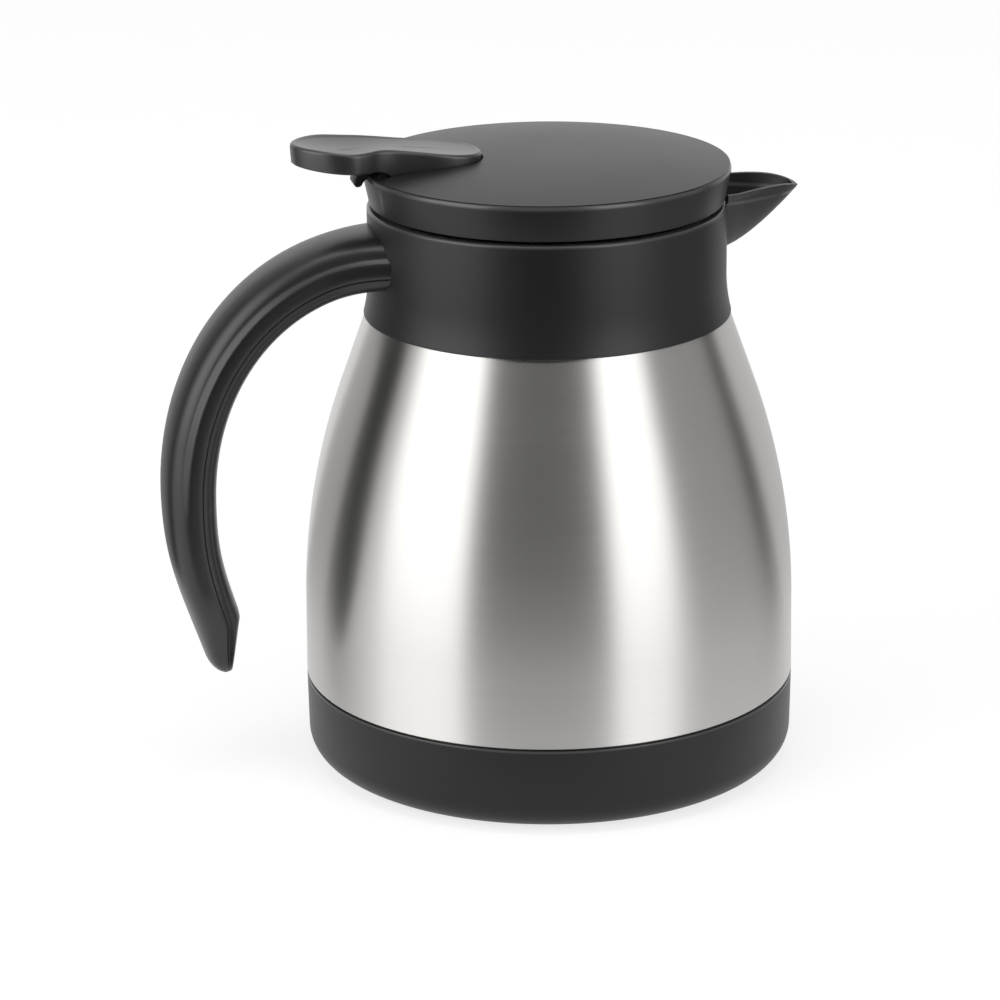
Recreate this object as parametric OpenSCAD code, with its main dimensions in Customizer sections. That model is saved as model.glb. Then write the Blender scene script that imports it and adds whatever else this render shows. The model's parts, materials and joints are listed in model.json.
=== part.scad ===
// Thermal carafe with a press lever lid, in millimetres.
// The origin is the middle of the underside. +Z is up, +X is the spout, -X is the handle.

/* [Base] */
// Diameter of the body at the top of the base cup
base_d = 135; // [125:1:150]
// Height of the base cup above the table
base_h = 24.4; // [18:0.2:34]
// Wall of the base cup
base_wall = 2.0; // [1.5:0.1:3]
// Thickness of the base cup's floor under the flask
base_floor = 2.8; // [2.4:0.1:4]
// Radius of the base cup's lower edge
base_edge_r = 7.6; // [3:0.2:10]
// Draft of the base cup's side, from top to bottom
base_draft = 0.4; // [0:0.1:1]
// Gap between the base cup and the steel above it
base_seam = 0.3; // [0.1:0.1:0.8]
// Diameter of the silicone foot pad
pad_d = 112; // [80:1:115]
// Thickness of the foot pad
pad_t = 1.8; // [1.2:0.1:2.4]
// How far the foot pad stands out below the base cup
pad_proud = 0.6; // [0.3:0.1:1]

/* [Steel flask] */
// Height of the steel that shows between base cup and collar
steel_h = 101.7; // [90:0.1:125]
// Height of the nearly straight lower part of the steel
steel_straight_h = 19.6; // [8:0.2:24]
// Draw-in of the straight part
steel_taper = 0.2; // [0:0.1:1]
// Height of the rounded part between the straight part and the shoulder cone
steel_curve_h = 62.4; // [40:0.2:66]
// Sheet thickness of the outer shell and bottom plate
shell_t = 0.6; // [0.4:0.05:0.9]
// Sheet thickness of the inner flask
liner_t = 0.5; // [0.4:0.05:0.8]
// Vacuum gap between outer shell and inner flask
vacuum_gap = 5.0; // [3:0.2:8]
// Outer diameter of the steel neck
neck_d = 84; // [82:0.2:85]
// Height of the neck's rim above the collar's lower edge
neck_h = 11.9; // [10:0.1:13]
// Gap between the two steel walls in the neck
neck_gap = 2.0; // [1.5:0.1:2.6]
// Height of the shoulder over which the inner flask draws in to the neck
liner_shoulder_h = 17; // [12:0.5:24]
// Radius of the inner flask's lower corner
liner_corner_r = 12; // [6:0.5:18]
// Height of the inner flask's floor above the bottom plate
liner_floor_gap = 5.6; // [3.5:0.1:9]
// Radius of the raised middle of the bottom plate
dish_r = 40; // [30:1:46]
// Rise of the bottom plate's middle
dish_h = 3.0; // [2.6:0.1:4]
// Radius of the evacuation hole
vent_r = 4.0; // [2.5:0.1:6]
// Diameter of the getter pill
getter_d = 18; // [10:0.5:24]
// Height of the getter pill
getter_h = 2.0; // [1:0.1:3]

/* [Collar] */
// Diameter of the collar near its top
collar_d = 97; // [95:0.2:99]
// Height of the collar
collar_h = 30; // [28:0.2:34]
// Flare of the collar's foot
collar_flare = 1.4; // [0.4:0.1:2.5]
// Height over which the foot flares
collar_flare_h = 11; // [5:0.5:14]
// Overhang of the collar's foot beyond the steel
collar_lap = 0.5; // [0.2:0.1:1]
// Wall of the collar
collar_wall = 3.0; // [2.5:0.1:3.4]
// Thickness of the ledge that clamps the neck
ledge_t = 2.0; // [1.6:0.1:2.6]
// Wall of the sleeve that goes round the neck
sleeve_wall = 2.0; // [1.4:0.1:2.2]
// Depth of the sleeve below the ledge
sleeve_h = 5.2; // [3:0.1:6]
// Thickness of the neck gasket
neck_gasket_t = 1.2; // [0.8:0.1:1.6]

/* [Lid thread] */
// Rise of the lid in one full turn
thread_lead = 36; // [30:1:40]
// Number of thread ledges
thread_starts = 3; // [2:1:3]
// Angle that each ledge covers
thread_ledge_a = 50; // [40:1:54]
// Angle that each lug covers
thread_lug_a = 30; // [20:1:36]
// Radial depth of the ledges
thread_depth = 2.3; // [1.6:0.1:2.6]
// Thickness of ledges and lugs
thread_t = 2.0; // [1.4:0.1:2.2]
// Running gap between ledge and lug
thread_gap = 0.3; // [0.2:0.05:0.5]
// Height of the first ledge end above the neck ledge
thread_rise = 3.0; // [2.8:0.1:3.6]

/* [Spout] */
// Reach of the spout's tip beyond the collar
spout_reach = 20.9; // [14:0.1:26]
// Half width of the spout where it leaves the collar
spout_half_w = 12.1; // [9:0.1:13]
// Height of the spout's lips above the collar
spout_lip_h = 3.1; // [1.5:0.1:4]
// Depth of the spout's root below its lips
spout_depth = 18.7; // [16:0.1:19]
// Drop of the lips towards the tip
spout_tip_drop = 1.9; // [0:0.1:3]
// Wall of the spout
spout_wall = 1.7; // [1.2:0.1:2.2]

/* [Handle] */
// Width of the handle grip
handle_w = 27; // [22:0.5:32]
// Thickness of the handle where it leaves the collar
handle_root_t = 15.8; // [14:0.1:17]
// Thickness of the handle near its free end
handle_end_t = 11.8; // [9:0.1:14]
// Distance of the handle's middle line from the collar at its widest
handle_reach = 51.1; // [42:0.1:62]
// Height of the handle's middle line at the collar, above the collar's lower edge
handle_root_z = 17.8; // [16:0.1:18.4]
// Height of the widest point of the handle
handle_mid_z = 80.6; // [60:0.2:90]
// Height of the handle's lower tip
handle_tip_z = 31; // [20:0.5:45]
// Inward swing of the lower tip
handle_tuck = 9.0; // [4:0.1:14]
// Wall of the hollow outer half
handle_wall = 2.2; // [1.6:0.1:3]
// Share of the thickness that the outer half covers
handle_seam = 0.67; // [0.6:0.01:0.7]
// Inset of the inner half at the seam
seam_inset = 0.35; // [0.1:0.05:0.6]
// Length of the oblique cut at the free end
handle_bevel = 16; // [8:0.5:22]
// Length of the tongue that carries the handle
tongue_l = 12; // [10:0.5:14]
// Width of the tongue
tongue_w = 18; // [16:0.5:20]

/* [Lid] */
// Diameter of the lid's rim
lid_d = 99.7; // [98:0.1:102]
// Diameter of the lid's skirt at its lower edge
lid_foot_d = 95.6; // [94:0.1:97]
// Height of the lid's side
lid_side_h = 9.8; // [9:0.1:12]
// Rise of the lid's top from rim to middle
lid_crown = 3.4; // [2:0.1:5]
// Gap between collar and lid
lid_gap = 1.0; // [0.6:0.1:1.6]
// Wall of the lid cover
lid_wall = 2.0; // [1.6:0.1:2.4]
// Radius of the lid's upper edge
lid_edge_r = 1.3; // [0.6:0.1:2]

/* [Stopper and valve] */
// Outer diameter of the stopper's tube
stopper_d = 73.8; // [66:0.2:75]
// Wall of the stopper's tube
stopper_wall = 2.2; // [1.8:0.1:3]
// Depth of the stopper below its deck
stopper_h = 21; // [20:0.1:22]
// Thickness of the stopper's floor and deck
stopper_floor_t = 2.5; // [2:0.1:3]
// Radius of the pouring hole in the stopper's floor
pour_hole_r = 11; // [8:0.2:12]
// Height of the seat ring round the pouring hole
seat_h = 1.0; // [0.6:0.1:1.6]
// Width of the window that faces the spout
window_w = 36; // [24:0.5:44]
// Height of that window
window_h = 8; // [5:0.1:8.4]
// Radius of the valve seal
seal_r = 14.5; // [13.4:0.1:17]
// Thickness of the valve seal
seal_t = 3.0; // [2:0.1:3.4]
// Radius of the valve stem
stem_r = 2.5; // [1.8:0.05:2.7]
// Radius of the stem's flange above the seal
stem_flange_r = 10; // [8:0.1:12]
// Thickness of that flange
stem_flange_t = 1.5; // [1.2:0.1:2.2]
// Radius of the cap on top of the stem
cap_r = 6.4; // [6:0.1:7]
// Thickness of that cap
cap_t = 1.6; // [1.2:0.1:2]
// Wire radius of the valve spring
spring_wire_r = 0.6; // [0.4:0.05:0.7]
// Middle radius of the valve spring
spring_r = 5.4; // [5.2:0.1:6.5]
// Number of turns of the valve spring
spring_turns = 5; // [4:1:6]

/* [Press lever] */
// Distance of the lever's pivot from the lid's middle
pivot_x = 38; // [36:0.2:40]
// Depth of the pivot below the lid's rim
pivot_drop = 3.4; // [3:0.1:4]
// Radius of the lever pin
pin_r = 1.75; // [1.2:0.05:2.2]
// Wall of the lever's boss round the pin
boss_wall = 2.2; // [1.8:0.1:2.6]
// Distance of the lever's inner tip from the lid's middle
lever_tip_x = 17.9; // [16:0.1:22]
// Radius of the lever's thumb paddle
paddle_r = 13; // [11:0.1:15]
// Distance of the paddle's middle from the lid's middle
paddle_x = 57; // [54:0.2:62]
// Half width of the lever's waist
waist_half_w = 9.0; // [8:0.1:10]
// Half width of the lever above its pivot
inner_half_w = 9.7; // [9:0.1:11]
// Height of the lever's top above the lid's rim, at the inner tip
lever_top_in = 4.7; // [4.4:0.1:5.4]
// Height of the lever's top above the lid's rim, at the paddle
lever_top_out = 8.3; // [7.6:0.1:10]
// Height of the lever's side wall at the paddle
lever_side_h = 5.3; // [4.6:0.1:5.6]
// Thickness of the lever's top plate
lever_plate_t = 2.2; // [1.6:0.1:2.6]
// Thickness of the lever's forked arm
fork_t = 3.4; // [2.4:0.1:4]
// Width of each tine of the fork
tine_w = 2.6; // [2:0.1:3]
// Radius of the roll at the end of each tine
tine_roll_r = 1.5; // [1.2:0.1:1.8]
// Width of the stop tab under the lever
tab_w = 7; // [5:0.1:8]
// Thickness of the stop tab
tab_t = 1.7; // [1.2:0.1:2]

/* [Fasteners and clearances] */
// Shaft radius of the screws
screw_r = 1.5; // [1.2:0.05:1.6]
// Head radius of the screws
screw_head_r = 2.9; // [2.4:0.1:3]
// Head height of the screws
screw_head_h = 1.8; // [1.4:0.1:2]
// Distance of the lid screws from the lid's middle
lid_screw_pcd_r = 31; // [29:0.1:31.6]
// Wall round a screw hole
screw_boss_wall = 2.2; // [1.6:0.1:2.6]
// Clearance between parts that are fixed to each other
fit = 0.1; // [0.05:0.05:0.2]
// Clearance of a seal, or of parts that pass each other
loose = 0.3; // [0.2:0.05:0.4]
// Running clearance of pin and stem, on the radius
run = 0.08; // [0.03:0.01:0.1]

/* [Hidden] */
$fn = 64;

black_plastic = [0.16, 0.16, 0.16];
lever_plastic = [0.24, 0.24, 0.24];
white_plastic = [0.8, 0.8, 0.78];
steel = [0.75, 0.74, 0.72];
bright_steel = [0.66, 0.66, 0.66];
silicone = [0.3, 0.3, 0.31];
red_silicone = [0.6, 0.24, 0.2];
over = 1;           // how far a cutting tool runs past what it cuts
screw_end = 1;      // depth of a screw hole past the screw's end

// Heights
cup_z = pad_proud;                      // underside of the base cup
plate_z = cup_z + base_floor;           // underside of the flask's bottom plate
steel_z = base_h;                       // lower edge of the steel that shows
collar_z = base_h + steel_h;            // lower edge of the collar
rim_z = collar_z + neck_h;              // end of the shell's neck
ledge_z = rim_z + liner_t + neck_gasket_t;
ledge_top_z = ledge_z + ledge_t;
collar_top_z = collar_z + collar_h;
lid_foot_z = collar_top_z + lid_gap;
lid_rim_z = lid_foot_z + lid_side_h;
lid_top_z = lid_rim_z + lid_crown;

// Radii
base_r = base_d / 2;
cup_inner_r = base_r - base_wall;
shell_foot_r = cup_inner_r - loose;
collar_r = collar_d / 2;
bore_r = collar_r - collar_wall;
neck_r = neck_d / 2;
flask_neck_r = neck_r - shell_t - neck_gap;
mouth_r = flask_neck_r - liner_t;
foot_inner_r = collar_r + collar_flare - collar_wall;
shoulder_r = collar_r + collar_flare - collar_lap;
step_r = foot_inner_r - fit;

// Side of the steel: a nearly straight part, then an arc that runs on into a cone at the shoulder
curve_z = steel_z + steel_straight_h;
curve_r = base_r - steel_taper;
cone_z = curve_z + steel_curve_h;
cone_h = collar_z - cone_z;
draw_in = curve_r - shoulder_r;
function half_angle_tan(t, n) =
    n == 0 ? t : half_angle_tan(draw_in / (steel_curve_h + 2 * cone_h / (1 - t * t)), n - 1);
cone_a = 2 * atan(half_angle_tan(0.15, 8));
side_r = steel_curve_h / sin(cone_a);
function body_r(z) =
    z < curve_z ? base_r - steel_taper * (z - steel_z) / steel_straight_h
    : z < cone_z ? curve_r - side_r + sqrt(side_r * side_r - (z - curve_z) * (z - curve_z))
    : shoulder_r + tan(cone_a) * (collar_z - z);
side_steps = 24;
function side_z(i, z0, z1) = z0 + (z1 - z0) * i / side_steps;

// Points of an arc about c, in n steps
function arc(c, r, a0, a1, n) =
    [for (i = [0:n]) c + r * [cos(a0 + (a1 - a0) * i / n), sin(a0 + (a1 - a0) * i / n)]];
function smooth(s) = s <= 0 ? 0 : s >= 1 ? 1 : s * s * (3 - 2 * s);
function mix(a, b, s) = a + (b - a) * s;

// Closed skin over rings of equal point counts. The rings run clockwise, seen from the last one.
// caps lists the faces that close a ring, and is one flat face if it is left out.
module skin(rings, caps) {
    n = len(rings[0]);
    m = len(rings);
    points = [for (ring = rings) each ring];
    sides = [for (j = [0:m - 2], i = [0:n - 1])
        let (a = j * n + i, b = j * n + (i + 1) % n, c = b + n, d = a + n)
        each [[a, b, c], [a, c, d]]];
    ends = is_undef(caps) ? [[for (i = [0:n - 1]) i]] : caps;
    first = [for (face = ends) [for (i = [len(face) - 1:-1:0]) face[i]]];
    last = [for (face = ends) [for (i = face) (m - 1) * n + i]];
    polyhedron(points, concat(sides, first, last), convexity = 6);
}

// Outer steel shell, from inside the base cup to the rim of the neck
step_h = 1.4;       // upright step that carries the collar's foot
cone_gap = 1.1;     // how far the neck stays straight below the collar's sleeve
foot_top_z = steel_z + base_seam / 3;
neck_foot_z = ledge_z - sleeve_h - cone_gap;
shell_outline = concat(
    [[shell_foot_r, plate_z], [shell_foot_r, foot_top_z]],
    [for (i = [0:side_steps]) let (z = side_z(i, foot_top_z, collar_z)) [body_r(z), z]],
    [[step_r, collar_z], [step_r, collar_z + step_h], [neck_r, neck_foot_z], [neck_r, rim_z]],
    [[neck_r - shell_t, rim_z], [neck_r - shell_t, neck_foot_z - shell_t / 2]],
    [[step_r - shell_t, collar_z + step_h - shell_t / 2], [step_r - shell_t, collar_z - shell_t]],
    [for (i = [side_steps:-1:0])
        let (z = side_z(i, foot_top_z + shell_t, collar_z - shell_t))
        [body_r(z) - shell_t / cos(z > curve_z ? cone_a : 0), z]],
    [[shell_foot_r - shell_t, foot_top_z + shell_t], [shell_foot_r - shell_t, plate_z]]);

module outer_shell() {
    color(steel) rotate_extrude() polygon(shell_outline);
}

// Inner steel flask: hangs from the neck, clear of the shell everywhere else
flask_gap = shell_t + vacuum_gap;
flask_floor_z = plate_z + dish_h + shell_t + liner_floor_gap;
flask_neck_h = 3;   // height above the collar's lower edge where the inner neck becomes straight
flask_neck_z = collar_z + flask_neck_h;
flask_shoulder_z = flask_neck_z - liner_shoulder_h;
function flask_r(z) =
    z < flask_shoulder_z ? body_r(max(z, steel_z)) - flask_gap
    : mix(body_r(flask_shoulder_z) - flask_gap, flask_neck_r,
        smooth((z - flask_shoulder_z) / liner_shoulder_h));
flask_side_z = flask_floor_z + liner_corner_r;
flask_low_r = flask_r(flask_side_z);
flask_outer = concat(
    [[0, flask_floor_z]],
    arc([flask_low_r - liner_corner_r, flask_side_z], liner_corner_r, -90, 0, 8),
    [for (i = [1:side_steps]) let (z = side_z(i, flask_side_z, flask_neck_z)) [flask_r(z), z]],
    [[flask_neck_r, rim_z], [neck_r, rim_z], [neck_r, rim_z + liner_t], [mouth_r, rim_z + liner_t]]);
flask_inner = concat(
    [for (i = [side_steps:-1:1]) let (z = side_z(i, flask_side_z, flask_neck_z)) [flask_r(z) - liner_t, z]],
    arc([flask_low_r - liner_corner_r, flask_side_z], liner_corner_r - liner_t, 0, -90, 8),
    [[0, flask_floor_z + liner_t]]);

module inner_flask() {
    color(bright_steel) rotate_extrude() polygon(concat(flask_outer, flask_inner));
}

// Bottom plate, welded into the foot of the shell and raised in the middle
plate_r = shell_foot_r - shell_t;
dish_slope_r = dish_r + 2 * dish_h;

module bottom_plate() {
    color(steel) rotate_extrude() polygon([
        [vent_r, plate_z + dish_h], [dish_r, plate_z + dish_h], [dish_slope_r, plate_z], [plate_r, plate_z],
        [plate_r, plate_z + shell_t], [dish_slope_r, plate_z + shell_t],
        [dish_r, plate_z + dish_h + shell_t], [vent_r, plate_z + dish_h + shell_t]]);
}

// Plug that seals the evacuation hole, with a flange under the plate
plug_lap = 3;
plug_flange_r = vent_r + plug_lap;
plug_flange_t = 0.8;

module vacuum_plug() {
    color(bright_steel) union() {
        translate([0, 0, plate_z + dish_h - plug_flange_t]) cylinder(h = plug_flange_t, r = plug_flange_r);
        translate([0, 0, plate_z + dish_h - plug_flange_t / 2])
            cylinder(h = shell_t + plug_flange_t / 2, r = vent_r - fit);
    }
}

module getter_pill() {
    color(bright_steel) translate([dish_r / 2, 0, plate_z + dish_h + shell_t])
        cylinder(h = getter_h, d = getter_d);
}

// Base cup with a rounded lower edge and a recess for the foot pad
pad_r = pad_d / 2;
cup_foot_r = base_r - base_draft;
cup_flat_r = cup_foot_r - base_edge_r;
cup_top_z = base_h - base_seam * 2 / 3;

module base_cup() {
    color(black_plastic) rotate_extrude() polygon(concat(
        [[0, pad_t], [pad_r + fit, pad_t], [pad_r + fit, cup_z]],
        arc([cup_flat_r, cup_z + base_edge_r], base_edge_r, -90, 0, 10),
        [[base_r, cup_top_z], [cup_inner_r, cup_top_z], [cup_inner_r, plate_z], [0, plate_z]]));
}

module foot_pad() {
    color(silicone) cylinder(h = pad_t, r = pad_r);
}

// Collar: outer wall with a flared foot, a ledge over the neck and a sleeve round it
sleeve_inner_r = neck_r + loose;
sleeve_outer_r = sleeve_inner_r + sleeve_wall;
flare_steps = 6;
lip_r = 0.6;        // rounding of the collar's upper edge
foot_inner_h = 2.4; // height of the straight part inside the collar's foot
collar_outline = concat(
    [for (i = [0:flare_steps]) let (s = i / flare_steps)
        [collar_r + collar_flare * (1 - s) * (1 - s), collar_z + collar_flare_h * s]],
    arc([collar_r - lip_r, collar_top_z - lip_r], lip_r, 0, 90, 4),
    [[bore_r + lip_r, collar_top_z], [bore_r, collar_top_z - lip_r], [bore_r, ledge_top_z],
        [mouth_r + loose, ledge_top_z], [mouth_r + loose, ledge_z],
        [sleeve_inner_r, ledge_z], [sleeve_inner_r, ledge_z - sleeve_h],
        [sleeve_outer_r, ledge_z - sleeve_h], [sleeve_outer_r, ledge_z],
        [bore_r, ledge_z], [foot_inner_r, collar_z + foot_inner_h], [foot_inner_r, collar_z]]);

// Spout: sections from the collar's wall to the tip, V-shaped with a rounded keel
spout_x1 = collar_r + spout_reach;
spout_z = collar_top_z + spout_lip_h;
spout_points = 10;
spout_root_r = collar_r - collar_wall / 2;
lip_gap = 1;        // gap between the lid's skirt and the lips beside it
lip_root_r = lid_foot_d / 2 + lip_gap;
spout_nose_n = 0.45;
spout_lip_n = 5;
spout_keel_n = 1.4;
spout_vee_n = 1.7;
spout_tip_wall = 1.4;
keel_wall = 1.3;    // thickness of the keel, in walls
channel_in = 6;     // how far the channel's cutting tool starts inside the collar
channel_up = 4;
function spout_u(x) = (x - collar_r) / spout_reach;
function spout_w(x) = x < collar_r ? spout_half_w : spout_half_w * pow(1 - spout_u(x), spout_nose_n);
function spout_lip(x) = spout_z - spout_tip_drop * pow(max(spout_u(x), 0), spout_lip_n);
function spout_keel(x) =
    spout_z - spout_depth + (spout_depth - spout_tip_drop) * pow(max(spout_u(x), 0), spout_keel_n);
function spout_ring(x, wall, top) =
    let (w = spout_w(x) - wall, z0 = spout_keel(x) + keel_wall * wall, z1 = spout_lip(x))
    concat(
        [for (i = [0:spout_points]) let (t = 1 - 2 * i / spout_points)
            [x, w * t, mix(z0, z1, pow(abs(t), spout_vee_n))]],
        top > 0 ? [[x, -w, z1 + top], [x, w, z1 + top]] : []);
spout_stations = 8;
spout_start = 1.5;  // where the spout leaves the collar's wall
spout_end = 0.02;
function spout_x(i, end) = mix(collar_r + spout_start, end, sin(90 * (i - 1) / (spout_stations - 1)));
// The root follows the collar's wall, and stays clear of the lid above it
function on_wall(p) =
    let (r = p[2] > collar_top_z ? lip_root_r : spout_root_r)
    [sqrt(r * r - p[1] * p[1]), p[1], p[2]];
module spout_solid() {
    skin(concat(
        [[for (p = spout_ring(collar_r, 0, 0)) on_wall(p)]],
        [for (i = [1:spout_stations]) spout_ring(spout_x(i, spout_x1 - spout_end), 0, 0)]));
}
module spout_channel() {
    skin(concat(
        [[for (p = spout_ring(collar_r, spout_wall, channel_up)) [bore_r - channel_in, p[1], p[2]]]],
        [for (i = [1:spout_stations])
            spout_ring(spout_x(i, spout_x1 - spout_tip_wall), spout_wall, channel_up)]));
}

// One helical rib about the axis, from angle a0 over span, with its underside at z at angle a0
rib_steps = 5;
module rib(r0, r1, a0, span, z) {
    skin([for (i = [0:rib_steps])
        let (a = a0 + span * i / rib_steps, h = z + thread_lead * (a - a0) / 360)
        [[r0 * cos(a), r0 * sin(a), h], [r1 * cos(a), r1 * sin(a), h],
            [r1 * cos(a), r1 * sin(a), h + thread_t], [r0 * cos(a), r0 * sin(a), h + thread_t]]]);
}
thread_step = 360 / thread_starts;
thread_a0 = thread_step / 2 - thread_ledge_a / 2;
thread_z = ledge_top_z + thread_rise;
lug_lag = 5;        // angle from a ledge's end to its lug's end with the lid closed
lug_a0 = thread_a0 + lug_lag;
lug_z = thread_z + thread_lead * lug_lag / 360 - thread_t - thread_gap;
rib_root = 1;       // how far a ledge runs into the wall

// Tongue of the collar that the handle closes round, with holes for the two handle screws
handle_z = collar_z + handle_root_z;
handle_b = handle_root_t / 2;
seam_drop = handle_root_t * (handle_seam - 0.5);
tongue_z0 = handle_z - seam_drop + loose;
tongue_top_gap = 3.4;
tongue_z1 = handle_z + handle_b - handle_wall - tongue_top_gap;
tongue_x1 = collar_r + tongue_l;
handle_screw_in = 6.2;
handle_screw_x = collar_r + handle_screw_in;
handle_screw_y = 5;

module collar() {
    color(black_plastic) difference() {
        union() {
            rotate_extrude() polygon(collar_outline);
            spout_solid();
            for (k = [0:thread_starts - 1])
                rib(bore_r - thread_depth, bore_r + rib_root, thread_a0 + thread_step * k, thread_ledge_a,
                    thread_z);
            translate([-tongue_x1, -tongue_w / 2, tongue_z0])
                cube([tongue_l + rib_root, tongue_w, tongue_z1 - tongue_z0]);
        }
        spout_channel();
        for (y = [-handle_screw_y, handle_screw_y])
            translate([-handle_screw_x, y, tongue_z0 - over])
                cylinder(h = handle_root_t / 2, r = screw_r + fit);
    }
}

module neck_gasket() {
    color(silicone) translate([0, 0, rim_z + liner_t]) rotate_extrude()
        translate([mouth_r + loose, 0]) square([neck_r - mouth_r - loose, neck_gasket_t]);
}

// Handle: two curves end to end, from the collar round to the free end
handle_x = collar_r + handle_reach;
handle_root_r = collar_r + fit;
handle_root = [-handle_root_r, handle_z];
handle_mid = [-handle_x, handle_mid_z];
handle_tip = [-handle_x + handle_tuck, handle_tip_z];
root_arm = [-30, -2];
upper_arm = [0, 34.5];
lower_arm = [0, -20];
tip_arm = [-7.5, 24.5];
handle_a = [handle_root, handle_root + root_arm, handle_mid + upper_arm, handle_mid];
handle_c = [handle_mid, handle_mid + lower_arm, handle_tip + tip_arm, handle_tip];
function bezier(p, t) =
    pow(1 - t, 3) * p[0] + 3 * pow(1 - t, 2) * t * p[1] + 3 * (1 - t) * t * t * p[2] + pow(t, 3) * p[3];
function bezier_dir(p, t) =
    let (d = pow(1 - t, 2) * (p[1] - p[0]) + 2 * (1 - t) * t * (p[2] - p[1]) + t * t * (p[3] - p[2]))
    d / norm(d);
upper_steps = 12;
lower_steps = 12;
stations = concat(
    [for (i = [0:upper_steps]) let (t = i / upper_steps) [bezier(handle_a, t), bezier_dir(handle_a, t)]],
    [for (i = [1:lower_steps]) let (t = i / lower_steps) [bezier(handle_c, t), bezier_dir(handle_c, t)]]);
station_n = len(stations);
// Length still to go to the tip, at station j
function to_tip(j) = norm(stations[j][0] - handle_tip);
function is_lower(j) = j > upper_steps;
tip_l = 5;          // length of the rounding at the free end
tip_blunt = 0.02;
tip_t_share = 0.35;
tip_w_share = 0.6;
end_taper_l = 26;   // length over which the handle narrows towards its free end
end_w_share = 0.62;
bevel_cut = 0.1;
// Distance of the outer and the inner face from the middle line
function half_t(j) = mix(handle_root_t, handle_end_t, j / (station_n - 1)) / 2;
function tip_round(j) =
    is_lower(j) && to_tip(j) < tip_l ? sqrt(max(1 - pow(1 - to_tip(j) / tip_l, 2), tip_blunt)) : 1;
function outer_d(j) = half_t(j) * (tip_round(j) < 1 ? mix(tip_t_share, 1, tip_round(j)) : 1);
function inner_d(j) =
    is_lower(j) && to_tip(j) < handle_bevel
    ? min(half_t(j), mix(-bevel_cut, 1 + bevel_cut, to_tip(j) / handle_bevel) * half_t(j)) : half_t(j);
function half_w(j) =
    handle_w / 2 * mix(end_w_share, 1, smooth(is_lower(j) ? to_tip(j) / end_taper_l : 1))
    * mix(tip_w_share, 1, tip_round(j));
function seam_v(j) = (outer_d(j) - inner_d(j)) / 2 - (outer_d(j) + inner_d(j)) * (handle_seam - 0.5);
// A point of station j: y across the handle, v outwards from the middle line
// The root follows the collar's wall
function place(j, y, v) =
    let (c = stations[j][0], d = stations[j][1])
    [j == 0 ? -sqrt(handle_root_r * handle_root_r - y * y) : c[0] + v * d[1], y, c[1] - v * d[0]];
round_n = 2.6;      // squareness of the handle's section
// Point of the section at angle a, drawn in by wall
function section(j, a, wall) =
    let (b = (outer_d(j) + inner_d(j)) / 2 - wall, w = half_w(j) - wall, m = (outer_d(j) - inner_d(j)) / 2)
    [w * sign(cos(a)) * pow(abs(cos(a)), 2 / round_n),
        m + b * sign(sin(a)) * pow(abs(sin(a)), 2 / round_n)];
seam_a = -asin(pow(2 * handle_seam - 1, round_n / 2));
half_n = 12;
// Strips that close an end of the outer half between its two curves, and of the inner half
outer_caps = [for (i = [0:half_n - 1]) [i, i + 1, 2 * half_n - i, 2 * half_n + 1 - i]];
inner_caps = concat([[0, 1, 2 * half_n - 1]],
    [for (i = [1:half_n - 2]) [i, i + 1, 2 * half_n - 1 - i, 2 * half_n - i]],
    [[half_n - 1, half_n, half_n + 1]]);
// The outer half is hollow, except at the free end, where only a shallow groove is left
solid_end_l = handle_bevel + 6;
end_groove = 0.3;
function hollow(j) = to_tip(j) > solid_end_l || !is_lower(j);
function outer_half_ring(j) =
    let (v0 = seam_v(j))
    concat(
        [for (i = [0:half_n])
            let (p = section(j, mix(seam_a, 180 - seam_a, i / half_n), 0))
            place(j, p[0], max(p[1], v0))],
        [for (i = [half_n:-1:0])
            let (p = section(j, mix(seam_a, 180 - seam_a, i / half_n), handle_wall))
            place(j, p[0], hollow(j) ? max(p[1], v0) : v0 + end_groove * sin(180 * i / half_n))]);
function inner_half_ring(j) =
    let (v0 = seam_v(j), w = (half_w(j) - seam_inset) / half_w(j),
        low = [for (i = [0:half_n]) section(j, mix(180 - seam_a, 360 + seam_a, i / half_n), 0)])
    concat(
        [for (p = low) place(j, p[0] * w, min(p[1], v0))],
        [for (i = [half_n - 1:-1:1]) place(j, low[i][0] * w, v0)]);

module handle_outer() {
    color(black_plastic) skin([for (j = [0:station_n - 1]) outer_half_ring(j)], outer_caps);
}

handle_under_z = handle_z - handle_b;
screw_land = 2.4;   // depth of the screw heads' seats above the handle's underside
screw_dip = 4;      // how far the handle curves down below the screws
screw_seat_z = handle_under_z + screw_land;

module handle_inner() {
    color(black_plastic) difference() {
        skin([for (j = [0:station_n - 1]) inner_half_ring(j)], inner_caps);
        for (y = [-handle_screw_y, handle_screw_y])
            translate([-handle_screw_x, y, handle_under_z - screw_dip]) {
                cylinder(h = handle_root_t, r = screw_r + fit);
                cylinder(h = screw_land + screw_dip, r = screw_head_r + fit);
            }
    }
}

// One screw pointing up, with the top of its head at the origin
module screw(l) {
    translate([0, 0, -screw_head_h]) cylinder(h = screw_head_h, r = screw_head_r);
    translate([0, 0, -screw_head_h / 2]) cylinder(h = l + screw_head_h / 2, r = screw_r);
}

module handle_screws() {
    color(bright_steel) for (y = [-handle_screw_y, handle_screw_y])
        translate([-handle_screw_x, y, screw_seat_z]) screw(tongue_z1 - screw_end - screw_seat_z);
}

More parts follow.
